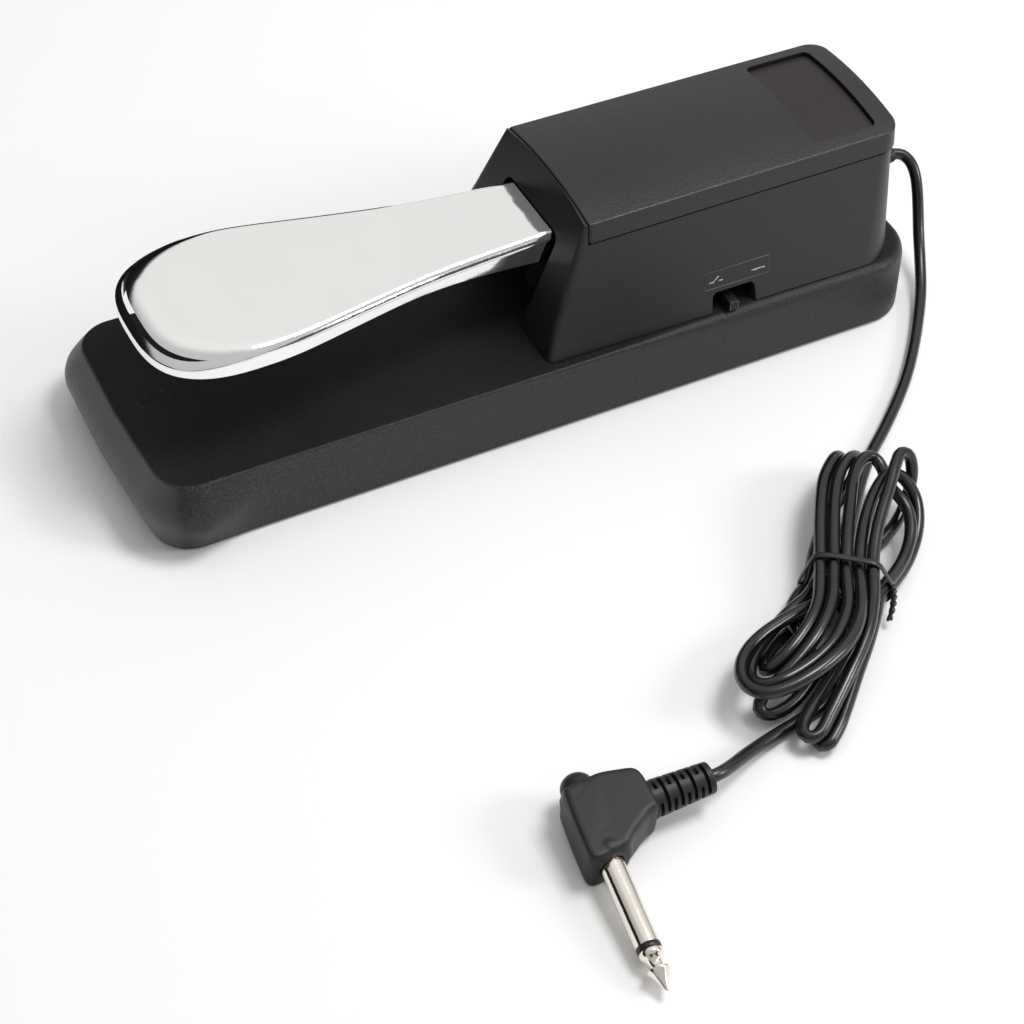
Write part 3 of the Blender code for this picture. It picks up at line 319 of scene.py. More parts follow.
def block(name, x0, x1, y0, y1, z0, z1):
    return column(name, [(x0, y0), (x1, y0), (x1, y1), (x0, y1)], z0, z1)


def prism(name, outline, axis, start, end):
    """(x, z) points drawn along axis "y", or (y, z) points drawn along axis "x"."""
    if axis == "y":
        rings = [[(x, y, z) for x, z in outline] for y in (start, end)]
    else:
        rings = [[(x, y, z) for y, z in outline] for x in (start, end)]
    return loft(name, rings)


def tube(name, path, radius, count):
    """Round tube; radius is a number or a function of the part of the way along."""
    path = [Vector(q) for q in path]
    last = len(path) - 1
    rings, normal, before = [], None, None
    for i, centre in enumerate(path):
        tangent = (path[min(i + 1, last)] - path[max(i - 1, 0)]).normalized()
        if normal is None:
            normal = axes_of(tangent)[0]
        else:
            axis = before.cross(tangent)
            if axis.length > 1e-9:
                normal = Matrix.Rotation(before.angle(tangent), 3, axis) @ normal
        before = tangent
        side = tangent.cross(normal).normalized()
        normal = side.cross(tangent).normalized()
        reach = radius(i / last) if callable(radius) else radius
        rings.append(circle(centre, normal, side, reach, count))
    return loft(name, rings)


# ---------------------------------------------------------------- working on objects
def bake(obj):
    """Turns the modifiers' result into the object's own mesh."""
    graph = bpy.context.evaluated_depsgraph_get()
    mesh = bpy.data.meshes.new_from_object(obj.evaluated_get(graph))
    obj.modifiers.clear()
    obj.data = mesh
    return obj


def combine(obj, operation, others):
    for other in others:
        modifier = obj.modifiers.new("cut", "BOOLEAN")
        modifier.operation = operation
        modifier.solver = "EXACT"
        modifier.object = other
        bake(obj)
        bpy.data.objects.remove(other)
    return obj


def add(obj, *others):
    return combine(obj, "UNION", others)


def cut(obj, *others):
    return combine(obj, "DIFFERENCE", others)


def common(obj, *others):
    return combine(obj, "INTERSECT", others)


def merge(obj, *others):
    """Joins meshes without resolving where they overlap."""
    work = bmesh.new()
    work.from_mesh(obj.data)
    for other in others:
        work.from_mesh(other.data)
        bpy.data.objects.remove(other)
    work.to_mesh(obj.data)
    work.free()


def bevel(obj, width, segments=3, angle=28):
    modifier = obj.modifiers.new("bevel", "BEVEL")
    modifier.width = width
    modifier.segments = segments
    modifier.limit_method = "ANGLE"
    modifier.angle_limit = radians(angle)
    modifier.use_clamp_overlap = True
    modifier.miter_outer = "MITER_SHARP"
    return bake(obj)


def remesh(obj, voxel, smoothing):
    """Fuses overlapping shells into one skin and softens it."""
    modifier = obj.modifiers.new("remesh", "REMESH")
    modifier.mode = "VOXEL"
    modifier.voxel_size = voxel
    modifier.use_smooth_shade = True
    bake(obj)
    modifier = obj.modifiers.new("smooth", "SMOOTH")
    modifier.factor = 0.5
    modifier.iterations = smoothing
    return bake(obj)


def dress(obj, material, sharp):
    """Gives the material and smooth shading, broken at edges over sharp degrees."""
    obj.data.materials.clear()
    obj.data.materials.append(material)
    obj.data.shade_smooth()
    if sharp:
        obj.data.set_sharp_from_angle(angle=radians(sharp))


def done(obj, slot, material=None, body="pedal_body", replaces=None, sharp=32, weighted=True):
    """Scales to metres, dresses in the slot's look and rides on its body."""
    obj.data.transform(Matrix.Scale(METRES, 4))
    dress(obj, material or LOOKS[slot], sharp)
    if weighted:
        modifier = obj.modifiers.new("normals", "WEIGHTED_NORMAL")
        modifier.keep_sharp = True
        modifier.weight = 60
    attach(obj, body)
    if replaces:
        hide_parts(replaces)


# ---------------------------------------------------------------- node trees
BLACK, WHITE = (0, 0, 0), (1, 1, 1)


class Nodes:
    """Short-hand for building a node tree whose textures share one coordinate."""

    def __init__(self, tree, coordinate):
        self.tree = tree
        self.place = self.node("ShaderNodeTexCoord")[coordinate]

    def feed(self, socket, value):
        """Links an output socket, or sets a plain value; colours come as three numbers."""
        if isinstance(value, bpy.types.NodeSocket):
            self.tree.links.new(value, socket)
        else:
            socket.default_value = (*value, 1) if socket.type == "RGBA" else value

    def node(self, kind, inputs=(), **settings):
        """Makes a node and returns its outputs."""
        made = self.tree.nodes.new(kind)
        for key, value in settings.items():
            setattr(made, key, value)
        for key, value in dict(inputs).items():
            self.feed(made.inputs[key], value)
        return made.outputs

    def noise(self, scale, detail=2.0, rough=0.5, vector=None):
        inputs = {"Scale": scale, "Detail": detail, "Roughness": rough,
                  "Vector": vector or self.place}
        return self.node("ShaderNodeTexNoise", inputs)["Fac"]

    def math(self, operation, *values):
        return self.node("ShaderNodeMath", dict(enumerate(values)), operation=operation)[0]

    def plus(self, first, second):
        return self.math("ADD", first, second)

    def times(self, first, second):
        return self.math("MULTIPLY", first, second)

    def span(self, value, over, to=(0.0, 1.0), kind="LINEAR"):
        """Maps the range over onto the range to, held at both ends."""
        inputs = {"Value": value, "From Min": over[0], "From Max": over[1],
                  "To Min": to[0], "To Max": to[1]}
        return self.node("ShaderNodeMapRange", inputs, interpolation_type=kind)["Result"]

    def split(self, vector):
        return self.node("ShaderNodeSeparateXYZ", {0: vector})


class Mat(Nodes):
    """A material built round its Principled BSDF."""

    def __init__(self, name, base, rough, metal=0.0, spec=0.5, coat=0.0, coat_rough=0.1):
        self.material = bpy.data.materials.new(name)
        self.material.use_nodes = True
        self.material.diffuse_color = (*base, 1)
        super().__init__(self.material.node_tree, "Object")
        self.bsdf = self.tree.nodes["Principled BSDF"]
        self.relief = None
        for key, value in (("Base Color", base), ("Roughness", rough), ("Metallic", metal),
                           ("Specular IOR Level", spec), ("Coat Weight", coat),
                           ("Coat Roughness", coat_rough)):
            self.set(key, value)

    def set(self, key, value):
        self.feed(self.bsdf.inputs[key], value)

    def voronoi(self, scale, feature="F1"):
        inputs = {"Scale": scale, "Vector": self.place}
        return self.node("ShaderNodeTexVoronoi", inputs, feature=feature)["Distance"]

    def ramp(self, value, stops):
        """Colour ramp; each stop is (position, colour)."""
        made = self.tree.nodes.new("ShaderNodeValToRGB")
        elements = made.color_ramp.elements
        while len(elements) < len(stops):
            elements.new(0.5)
        for element, (position, colour) in zip(elements, stops):
            element.position = position
            element.color = (*colour, 1)
        self.feed(made.inputs["Fac"], value)
        return made.outputs["Color"]

    def mix(self, factor, first, second):
        inputs = {"Factor": factor, 6: first, 7: second}
        return self.node("ShaderNodeMix", inputs, data_type="RGBA")[2]

    def normal(self):
        return self.split(self.node("ShaderNodeNewGeometry")["Normal"])

    def bump(self, height, distance, strength):
        """Adds a bump on top of those already there."""
        inputs = {"Height": height, "Distance": distance, "Strength": strength}
        if self.relief is not None:
            inputs["Normal"] = self.relief
        self.relief = self.node("ShaderNodeBump", inputs)["Normal"]
        self.set("Normal", self.relief)


# ---------------------------------------------------------------- materials
def tint(colour, factor):
    return tuple(c * factor for c in colour)


def plastic(name, base, rough, grain, depth, spec, vary, dust):
    """Moulded plastic: fine grain with pits, soft blotches in tone and gloss, dust."""
    mat = Mat(name, base, rough, spec=spec)
    fine = mat.noise(grain, detail=3.0, rough=0.6)
    pits = mat.voronoi(grain * 0.62)
    soft = mat.noise(22, detail=3.0, rough=0.55)
    mottle = mat.plus(mat.times(fine, 0.45), mat.times(soft, 0.55))
    tone = mat.ramp(mottle, [(0.30, tint(base, 1 - vary)), (0.72, tint(base, 1 + vary * 1.3))])
    if dust:
        specks = mat.ramp(mat.voronoi(260), [(0.0, WHITE), (0.035, BLACK)])
        patches = mat.ramp(mat.noise(60, detail=1.0), [(0.60, BLACK), (0.68, WHITE)])
        amount = mat.times(mat.times(specks, patches), dust)
        tone = mat.mix(amount, tone, (0.35, 0.35, 0.36))
    mat.set("Base Color", tone)
    mat.set("Roughness", mat.plus(
        mat.span(soft, over=(0.3, 0.7), to=(rough - 0.035, rough + 0.04)),
        mat.span(fine, over=(0.3, 0.7), to=(-0.03, 0.03))))
    mat.bump(fine, distance=depth, strength=0.55)
    mat.bump(pits, distance=depth * 1.4, strength=0.45)
    return mat


def plinth_plastic():
    """Coarse plastic, paler on front faces where a reflection of the floor is painted in,
    sparkling on the flanks, with a dull deck.
    """
    mat = plastic("plinth_abs", (0.0110, 0.0107, 0.0113), rough=0.44, grain=2000,
                  depth=0.00014, spec=0.42, vary=0.45, dust=0.12)
    deck = mat.span(mat.normal()[2], over=(0.80, 0.97))
    # faces pointing towards -Y get a paler base colour: a painted reflection of the white floor
    front = mat.span(mat.normal()[1], over=(-0.45, -0.88))
    tone = mat.bsdf.inputs["Base Color"].links[0].from_socket
    tone = mat.mix(mat.times(front, 0.9), tone, (0.125, 0.112, 0.116))
    spark = mat.ramp(mat.noise(1700, rough=0.8), [(0.46, BLACK), (0.74, WHITE)])
    fade = mat.span(mat.split(mat.place)[1], over=(-0.07, 0.05), to=(0.55, 0.05))
    flank = mat.times(mat.math("SUBTRACT", 1.0, deck), fade)
    mat.set("Base Color", mat.mix(mat.times(spark, flank), tone, (0.075, 0.072, 0.075)))
    mat.set("Specular IOR Level", mat.span(deck, over=(0.0, 1.0), to=(0.36, 0.11)))
    return mat


def soft_pvc(name, base, rough):
    """Thinly coated, slightly uneven PVC."""
    mat = Mat(name, base, rough, coat=0.12, coat_rough=0.18)
    soft = mat.noise(55, detail=3.0)
    fine = mat.noise(1500)
    mat.set("Base Color", mat.ramp(soft, [(0.3, tint(base, 0.75)), (0.7, tint(base, 1.35))]))
    mat.set("Roughness", mat.plus(
        mat.span(soft, over=(0.3, 0.7), to=(rough - 0.05, rough + 0.07)),
        mat.span(fine, over=(0.3, 0.7), to=(-0.02, 0.02))))
    mat.bump(fine, distance=0.00002, strength=0.35)
    mat.bump(mat.noise(180), distance=0.00012, strength=0.25)
    return mat


def metal(name, base, rough, vary, wave, brush):
    """Metal; wave is the depth of slow ripples, brush of fine lines along X."""
    mat = Mat(name, base, rough, metal=1.0)
    soft = mat.noise(34)
    fine = mat.noise(1800)
    stops = [(0.3, tint(base, 1 - vary)), (0.7, tint(base, 1 + vary * 0.4))]
    mat.set("Base Color", mat.ramp(soft, stops))
    mat.set("Roughness", mat.plus(
        mat.span(soft, over=(0.3, 0.7), to=(rough * 0.7, rough * 1.3)),
        mat.span(fine, over=(0.35, 0.65), to=(-rough * 0.15, rough * 0.25))))
    if wave:
        mat.bump(mat.noise(70, detail=3.0), distance=wave, strength=0.6)
    if brush:
        stretch = {"Vector": mat.place, "Scale": (1.0, 14.0, 14.0)}
        lines = mat.node("ShaderNodeMapping", stretch)["Vector"]
        mat.bump(mat.noise(260, detail=3.0, rough=0.6, vector=lines),
                 distance=brush, strength=0.5)
    mat.bump(fine, distance=0.000006, strength=0.4)
    return mat


def circuit_board():
    mat = Mat("board_green", (0.02, 0.10, 0.04), rough=0.35)
    tracks = mat.voronoi(240, "DISTANCE_TO_EDGE")
    track, ground = (0.035, 0.17, 0.07), (0.015, 0.085, 0.035)
    mat.set("Base Color", mat.ramp(tracks, [(0.0, track), (0.08, track), (0.10, ground)]))
    mat.set("Roughness", mat.span(mat.noise(300), over=(0.3, 0.7), to=(0.3, 0.42)))
    mat.bump(tracks, distance=0.00004, strength=0.4)
    return mat


# slot: name, base colour, roughness, grain scale, grain depth, specular, variation, dust
PLASTICS = {
    "grey_abs": ("housing_abs", (0.0110, 0.0106, 0.0120), 0.38, 1700, 0.00004, 0.40, 0.20, 0.14),
    "lid_abs": ("lid_abs", (0.0120, 0.0114, 0.0128), 0.36, 1500, 0.00008, 0.42, 0.22, 0.14),
    "label_grey": ("label_face", (0.0190, 0.0155, 0.0145), 0.42, 1100, 0.00003, 0.28, 0.10, 0),
    "switch_black": ("switch_black", (0.006, 0.006, 0.007), 0.38, 3000, 0.00002, 0.5, 0.10, 0),
    "boot_pvc": ("boot_pvc", (0.0098, 0.0094, 0.0102), 0.46, 1900, 0.00002, 0.35, 0.20, 0.10),
    "black_rubber": ("mat_rubber", (0.014, 0.014, 0.014), 0.82, 1400, 0.00008, 0.25, 0.3, 0),
    "white_nylon": ("nylon_white", (0.66, 0.655, 0.62), 0.46, 1800, 0.00001, 0.5, 0.05, 0),
    "wire_red_pvc": ("wire_red_pvc", (0.42, 0.025, 0.02), 0.38, 1500, 0.00001, 0.5, 0.12, 0),
    "wire_white_pvc": ("wire_white_pvc", (0.68, 0.67, 0.63), 0.38, 1500, 0.00001, 0.5, 0.06, 0),
}
# name, then the same columns
KNOB_PLASTIC = ("knob_black", (0.0060, 0.0060, 0.0066), 0.32, 2200, 0.00002, 0.5, 0.10, 0)
PRINT_INK = ("print_white", (0.42, 0.42, 0.43), 0.55, 2600, 0.00001, 0.5, 0.12, 0)
FRAME_INK = ("print_grey", (0.10, 0.10, 0.105), 0.55, 2600, 0.00001, 0.5, 0.2, 0)
# slot: name, base colour, roughness, variation, ripple depth, brushing depth
METALS = {
    "chrome": ("lever_chrome", (0.93, 0.925, 0.915), 0.085, 0.02, 0.00030, 0),
    "nickel": ("plug_nickel", (0.86, 0.81, 0.745), 0.12, 0.05, 0, 0.00002),
    "zinc_steel": ("zinc_steel", (0.55, 0.56, 0.58), 0.30, 0.14, 0, 0.00003),
    "spring_steel": ("spring_steel", (0.42, 0.42, 0.43), 0.28, 0.15, 0, 0.00002),
    "brass_pin": ("pin_brass", (0.72, 0.56, 0.30), 0.26, 0.12, 0, 0),
}

LOOKS = {slot: plastic(*values).material for slot, values in PLASTICS.items()}
LOOKS |= {slot: metal(*values).material for slot, values in METALS.items()}
LOOKS["black_abs"] = plinth_plastic().material
LOOKS["cable_pvc"] = soft_pvc("cable_pvc", (0.0045, 0.0043, 0.0045), rough=0.25).material
LOOKS["tie_pvc"] = soft_pvc("tie_pvc", (0.0050, 0.0050, 0.0053), rough=0.36).material
LOOKS["board_green"] = circuit_board().material
KNOB = plastic(*KNOB_PLASTIC).material
PRINT = plastic(*PRINT_INK).material
PRINT_FRAME = plastic(*FRAME_INK).material

# ---------------------------------------------------------------- plinth
BASE_FRONT, BASE_REAR, BASE_HALF = -118.0, 119.0, 35.45
BASE_DRAFT_FRONT, BASE_DRAFT_REAR, BASE_DRAFT_SIDE = 1.2, 1.6, 0.7
BASE_DRAFT_EASE = 0.006         # side draft lost per mm towards the rear
BASE_R_FRONT, BASE_R_REAR = 9.5, 15.0
DECK, DECK_THICK, BASE_FOOT, BASE_WALL = 22.2, 2.5, 0.5, 2.6
FOOT_RISE, FOOT_INSET = 0.5, 0.35           # rounding of the bottom edge
WALL_HEIGHTS = (3.0, 6.0, 8.5, 10.5, 12.5, 14.5, 16.5, 18.6)
BASE_STATIONS = [-100 + 6 * i for i in range(34)]
# height, bulge of the rounded front end past the upright wall
NOSE = ((0.0, 0.0), (4.0, 1.9), (8.0, 3.7), (10.5, 4.6), (12.5, 4.8), (14.5, 4.4),
        (18.3, 2.3), (22.2, 0.0))
NOSE_HEIGHTS, NOSE_BULGES = zip(*NOSE)
# centres of posts and holes, x and y
FRONT_POSTS = ((-7.5, 56.2), (15.5, 56.2))
REAR_POSTS = ((7.5, 101), (-7.5, 101))
SIDE_HOLES = ((21, 65), (-21, 65), (21, 79), (-21, 79))
CORNER_HOLES = ((23, 14), (-23, 14), (21, 95), (-21, 95))


def shoulder(y):
    """Radius of the edge between wall and deck."""
    return 0.8 + 2.4 * ease((y - 5.0) / 60.0)


def plinth_outline(z, less=0.0):
    part = z / DECK
    return ring(half_rect(
        lambda y: BASE_HALF - less - part * (BASE_DRAFT_SIDE - BASE_DRAFT_EASE * y),
        BASE_FRONT + part * BASE_DRAFT_FRONT + less, BASE_REAR - part * BASE_DRAFT_REAR - less,
        BASE_R_FRONT - less, BASE_R_REAR - less, 16, 1, BASE_STATIONS))


def nose(z):
    return np.interp(z, NOSE_HEIGHTS, NOSE_BULGES)


def near_front(y):
    return ease((-90.0 - y) / 18.0)


def bowed(x, y):
    """Bends the front end, its middle forwards and its sides back."""
    return x, y + 1.6 * ((x / 35.0) ** 2 - 0.4) * near_front(y)


def plinth_ring(z, less=0.0):
    moved = inset(plinth_outline(z, less), lambda x, y: -nose(z) * near_front(y))
    return at_height([bowed(x, y) for x, y in moved], z)


def shoulder_ring(angle):
    outline = plinth_outline(DECK)
    points = []
    for i, (x, y) in enumerate(inset(outline, lambda x, y: shoulder(y) * (1 - cos(angle)))):
        wall_y = outline[i][1]
        height = DECK - shoulder(wall_y) * (1 - sin(angle))
        push = nose(height) * near_front(wall_y)
        edge = Vector(outline[(i + 1) % len(outline)]) - Vector(outline[i - 1])
        edge.normalize()
        points.append((*bowed(x + edge.y * push, y - edge.x * push), height))
    return points


def build_plinth():
    """An open-bottomed shell with posts and screw holes in its deck."""
    rings = [plinth_ring(DECK - DECK_THICK, BASE_WALL), plinth_ring(BASE_FOOT, BASE_WALL),
             plinth_ring(BASE_FOOT, FOOT_INSET)]
    for k in (1, 2, 3):
        angle = radians(30 * k)
        rings.append(plinth_ring(BASE_FOOT + FOOT_RISE * (1 - cos(angle)),
                                 FOOT_INSET * (1 - sin(angle))))
    rings += [plinth_ring(z) for z in WALL_HEIGHTS]
    rings += [shoulder_ring(radians(11.25 * k)) for k in range(9)]
    base = strip_loft("plinth_shell", rings, divide=2)
    for centres, top, radius in ((FRONT_POSTS, 27.1, 2.6), (REAR_POSTS, 27.2, 3.0)):
        for x, y in centres:
            add(base, post(x, y, DECK - 0.6, top, radius, 24))
    for centres, bottom, radius in ((FRONT_POSTS + REAR_POSTS, 20.5, 1.15),
                                    (SIDE_HOLES, 11, 1.45), (CORNER_HOLES, 10, 1.75)):
        for x, y in centres:
            cut(base, post(x, y, bottom, 30, radius, 20))
    done(base, "black_abs", replaces="base_shell", sharp=40)


build_plinth()

# raised marks on the deck near the toe: a ring with a pointer, and a small bar
MARK_X, MARK_Y, MARK_SINK = -1.0, -106.5, 0.05
# radius, height above the deck
MARK_PROFILE = ((3.5, -MARK_SINK), (3.55, 0.18), (4.0, 0.22), (4.45, 0.18), (4.5, -MARK_SINK))

mark = lathe("deck_mark", [(radius, DECK + height) for radius, height in MARK_PROFILE],
             (MARK_X, MARK_Y, 0), (0, 0, 1), 56, closed=True)
add(mark, block("pointer", MARK_X - 0.4, MARK_X + 0.4, MARK_Y - 3.8, MARK_Y + 1.0,
                DECK - MARK_SINK, DECK + 0.19))
done(mark, "black_abs", sharp=30, weighted=False)
bar = block("deck_mark_bar", 12.1, 12.9, -107.6, -99.4, DECK - MARK_SINK, DECK + 0.2)
bevel(bar, 0.12, 2)
done(bar, "black_abs", weighted=False)

# ---------------------------------------------------------------- housing
CROWN_EDGE, CROWN_RISE, CROWN_HALF = 60.1, 2.4, 22.85   # the arched top, across x
SIDE_FOOT_HALF, SIDE_MID_Y = 32.5, 50
LID_SEAM, LID_FRONT, LID_REAR = 54.5, 9.65, 110.8
LID_REAR_DRAFT, LID_WALL = 0.3, 2.3
HOUSING_GAP, HOUSING_WALL, HOUSING_REAR = 0.3, 2.2, 111.8
HOUSING_LOW = DECK + HOUSING_GAP
HOUSING_HEIGHTS = [HOUSING_LOW, 30.2, 40.0, 48.0, 54.0, 60.0, 66.0]
FRONT_FOOT, FRONT_LEAN = -4.2, 0.335
SLOT_HALF, SLOT_TOP, SLOT_R = 14.7, 51.5, 3.0           # lever opening in the front wall
NOTCH_Y0, NOTCH_Y1, NOTCH_TOP = 48.0, 61.3, 28.3        # slider opening in the +X wall
OPENING_LOW = 10                                        # openings are cut from here up
CABLE_R, CABLE_Z = 1.71, 29.0


def crown(x):
    return CROWN_EDGE + CROWN_RISE * (1 - (x / CROWN_HALF) ** 2)


def side_at(y, z):
    """Half-width of the sloping side; narrower at the top and towards the rear there."""
    top = CROWN_HALF - 0.006 * (y - SIDE_MID_Y)
    foot = SIDE_FOOT_HALF + 0.012 * (y - SIDE_MID_Y)
    return top + (foot - top) * (CROWN_EDGE - z) / (CROWN_EDGE - DECK)


def rear_radius(z):
    return 14.0 - 8.5 * (z - DECK) / (CROWN_EDGE - DECK)


def wall_x(y, z):
    """Half-width of the housing wall, which sits a little inside the lid's band."""
    return side_at(y, z) - 0.3 * clamp((z - DECK) / 8.0)


def housing_ring(z, less=0.0):
    front_r = 2.6 - 1.5 * clamp((z - 40) / 20)
    front = FRONT_FOOT + FRONT_LEAN * (z - DECK)
    rear = HOUSING_REAR - 1.5 * (z - DECK) / (LID_SEAM - DECK)
    half = half_rect(lambda y: wall_x(y, z) - less, front + less, rear - less,
                     max(front_r - less, 0.5), max(rear_radius(z) - less, 1.0), 14)
    return at_height(ring(half), z)


def crown_cutter(drop, far_z, steps=60):
    """Solid between far_z and the crown lowered by drop."""
    half = 34.0
    across = [-half + 2 * half * i / steps for i in range(steps + 1)]
    arc = [(x, crown(x) - drop) for x in across]
    return prism("crown", arc + [(half, far_z), (-half, far_z)], "y", -20.0, 130.0)


def slot_outline():
    corner_x, corner_z = SLOT_HALF - SLOT_R, SLOT_TOP - SLOT_R
    corner = []
    for k in range(1, 9):
        angle = radians(11.25 * k)
        corner.append((corner_x + SLOT_R * cos(angle), corner_z + SLOT_R * sin(angle)))
    return [(-SLOT_HALF, OPENING_LOW), (SLOT_HALF, OPENING_LOW), (SLOT_HALF, corner_z),
            *corner, *[(-x, z) for x, z in reversed(corner[:-1])], (-SLOT_HALF, corner_z)]


def notch_outline(grow=0.0):
    """(y, z) outline with chamfered top corners, widened by grow."""
    top, side = NOTCH_TOP + grow * 0.8, NOTCH_TOP - 1 + grow * 0.8
    return [(NOTCH_Y0 - grow, OPENING_LOW), (NOTCH_Y1 + grow, OPENING_LOW),
            (NOTCH_Y1 + grow, side), (NOTCH_Y1 - 1 + grow * 0.7, top),
            (NOTCH_Y0 + 1 - grow * 0.7, top), (NOTCH_Y0 - grow, side)]


def notch_rim():
    """A wider, shallow cut round the notch that follows the wall's slope."""
    slope = 0.252
    rings = []
    for x0, grow in ((30.3, 0.0), (31.6, 0.5)):
        rings.append([(x0 + (NOTCH_TOP - z) * slope if z > 20 else x0 + 2.1, y, z)
                      for y, z in notch_outline(grow)])
    rings.append([(x + 6, y, z) for x, y, z in rings[-1]])
    return loft("rim", rings)


def build_housing():
    inner = [housing_ring(z, HOUSING_WALL) for z in reversed(HOUSING_HEIGHTS)]
    outer = [housing_ring(z) for z in HOUSING_HEIGHTS]
    housing = loft("housing_body", inner + outer, wrap=True)
    cut(housing, crown_cutter(0.10, 90.0))
    cut(housing, block("above_seam", -50, 50, LID_FRONT - 0.32, 140, LID_SEAM - 0.22, 90))
    for x, y in CORNER_HOLES:
        boss = post(x, y, HOUSING_LOW, 34, 3.5, 24)
        web_x = copysign(28.6, x)
        add(boss, block("web", min(x, web_x), max(x, web_x), y - 0.8, y + 0.8,
                        HOUSING_LOW, 32.5))
        add(housing, boss)
    for x, y in CORNER_HOLES:
        cut(housing, post(x, y, 10, 33, 1.45, 20))
    cut(housing, prism("slot", slot_outline(), "y", -20, 12.5))
    cut(housing, prism("notch", notch_outline(), "x", 24, 50))
    cut(housing, notch_rim())
    cut(housing, rod("cable_hole", (0, 100, CABLE_Z), (0, 120, CABLE_Z), 4.7, 48))
    bevel(housing, 0.22, 2, 38)
    done(housing, "grey_abs", replaces="housing_shell", sharp=34)


build_housing()

# ---------------------------------------------------------------- lid and label
LID_ACROSS, LID_EDGE_R = 12, 0.6
LID_STATIONS = [12 + 4 * i for i in range(24)]
# height above the seam, inset
LID_LOWER_EDGE = ((0.25, 0.25), (0.32, 0.07), (0.5, 0.0))
POCKET_HALF, POCKET_Y0, POCKET_Y1, POCKET_DEPTH, POCKET_R = 18.6, 83.5, 104.5, 1.9, 2.0
TOOL_Z0, TOOL_Z1 = 50, 70       # height range of the upright cutting tools


def lid_outline(z, less=0.0, steps=14, across=LID_ACROSS):
    rear = LID_REAR + LID_REAR_DRAFT * (CROWN_EDGE - z) / (CROWN_EDGE - LID_SEAM)
    return ring(half_rect(lambda y: side_at(y, z) - less, LID_FRONT + less, rear - less,
                          max(0.9 - less, 0.4), max(rear_radius(z) - less, 1.0),
                          steps, across, LID_STATIONS))


def pocket_column(name, less=0.0):
    half = half_rect(lambda y: POCKET_HALF - less, POCKET_Y0 + less, POCKET_Y1 - less,
                     POCKET_R, POCKET_R, 8)
    return column(name, ring(half), TOOL_Z0, TOOL_Z1)


def build_lid():
    rings = [at_height(lid_outline(LID_SEAM + rise, less), LID_SEAM + rise)
             for rise, less in LID_LOWER_EDGE]
    top = lid_outline(CROWN_EDGE)
    for k in range(6):
        angle = radians(18 * k)
        moved = inset(top, lambda x, y: LID_EDGE_R * (1 - cos(angle)))
        rings.append([(x, y, crown(x) - LID_EDGE_R * (1 - sin(angle))) for x, y in moved])
    lid = loft("lid_shell", rings, crown=crown, across=LID_ACROSS)
    hollow = column("hollow", lid_outline(LID_SEAM, LID_WALL, 8, 4), TOOL_Z0, TOOL_Z1)
    common(hollow, crown_cutter(2.6, 40.0))
    # thicker roof under the pocket
    keep = block("keep", -40, 40, 81, 120, TOOL_Z0, TOOL_Z1)
    cut(hollow, common(keep, crown_cutter(4.6, 90.0)))
    cut(lid, hollow)
    cut(lid, common(pocket_column("pocket"), crown_cutter(POCKET_DEPTH, 90.0)))
    bevel(lid, 0.30, 3, 40)
    done(lid, "lid_abs", replaces="lid", sharp=34)


def build_label():
    label = pocket_column("label_face", less=0.25)
    common(label, crown_cutter(POCKET_DEPTH - 0.1, 90.0, 40),
           crown_cutter(POCKET_DEPTH - 0.7, 40.0, 40))
    bevel(label, 0.12, 2, 40)
    done(label, "label_grey", replaces="label_plate", sharp=34)


build_lid()
build_label()

# ---------------------------------------------------------------- prints above the slider
PRINT_SUNK, PRINT_PROUD, DOT_PROUD = 0.03, 0.02, 0.022
PRINT_FRAME_CORNERS = [(45.4, 29.75), (66.2, 29.75), (66.2, 34.9), (45.4, 34.9)]    # y, z
LEAD_Z, LEAD_WIDTH, CONTACT, LEAD_END, DOT_R = 31.7, 0.34, 0.9, 2.2, 0.32
# centre y, rise of the contact arm
SYMBOLS = ((48.9, 1.45), (62.7, 0.15))


def stroke(name, points, width, closed=False):
    """A thin printed line along (y, z) points on the +X wall."""
    count, verts, faces = len(points), [], []
    for i, (y, z) in enumerate(points):
        mitre = 1.0
        if closed:
            before, after = points[i - 1], points[(i + 1) % count]
        else:
            before, after = points[max(i - 1, 0)], points[min(i + 1, count - 1)]
        along = Vector((after[0] - before[0], after[1] - before[1]))
        along.normalize()
        if closed:
            edge = Vector((y - before[0], z - before[1])).normalized()
            mitre = 1 / max(0.5, abs(along.dot(edge)))
        shift_y, shift_z = -along.y * width / 2 * mitre, along.x * width / 2 * mitre
        for side in (1, -1):
            side_y, side_z = y + side * shift_y, z + side * shift_z
            for lift in (-PRINT_SUNK, PRINT_PROUD):
                verts.append((wall_x(side_y, side_z) + lift, side_y, side_z))
    for i in range(count if closed else count - 1):
        start, end = 4 * i, 4 * ((i + 1) % count)
        for p, q in ((0, 1), (1, 3), (3, 2), (2, 0)):
            faces.append((start + p, start + q, end + q, end + p))
    if not closed:
        for end in (0, 4 * (count - 1)):
            faces.append((end, end + 1, end + 3, end + 2))
    return mesh_object(name, verts, faces)


def contact_symbol(index, y, rise):
    """Two leads, an arm between them and a dot at the arm's root."""
    left, right = y - CONTACT, y + CONTACT
    dot = []
    for i in range(12):
        angle = radians(30 * i)
        dot.append((left + DOT_R * cos(angle), LEAD_Z + DOT_R * sin(angle)))
    return [
        stroke(f"print_lead_a{index}", [(y - LEAD_END, LEAD_Z), (left, LEAD_Z)], LEAD_WIDTH),
        stroke(f"print_lead_b{index}", [(right, LEAD_Z), (y + LEAD_END, LEAD_Z)], LEAD_WIDTH),
        stroke(f"print_arm{index}", [(left, LEAD_Z), (y + 0.95, LEAD_Z + rise)], LEAD_WIDTH),
        loft(f"print_dot{index}", [[(wall_x(*q) + lift, *q) for q in dot]
                                   for lift in (DOT_PROUD, -PRINT_SUNK)])]


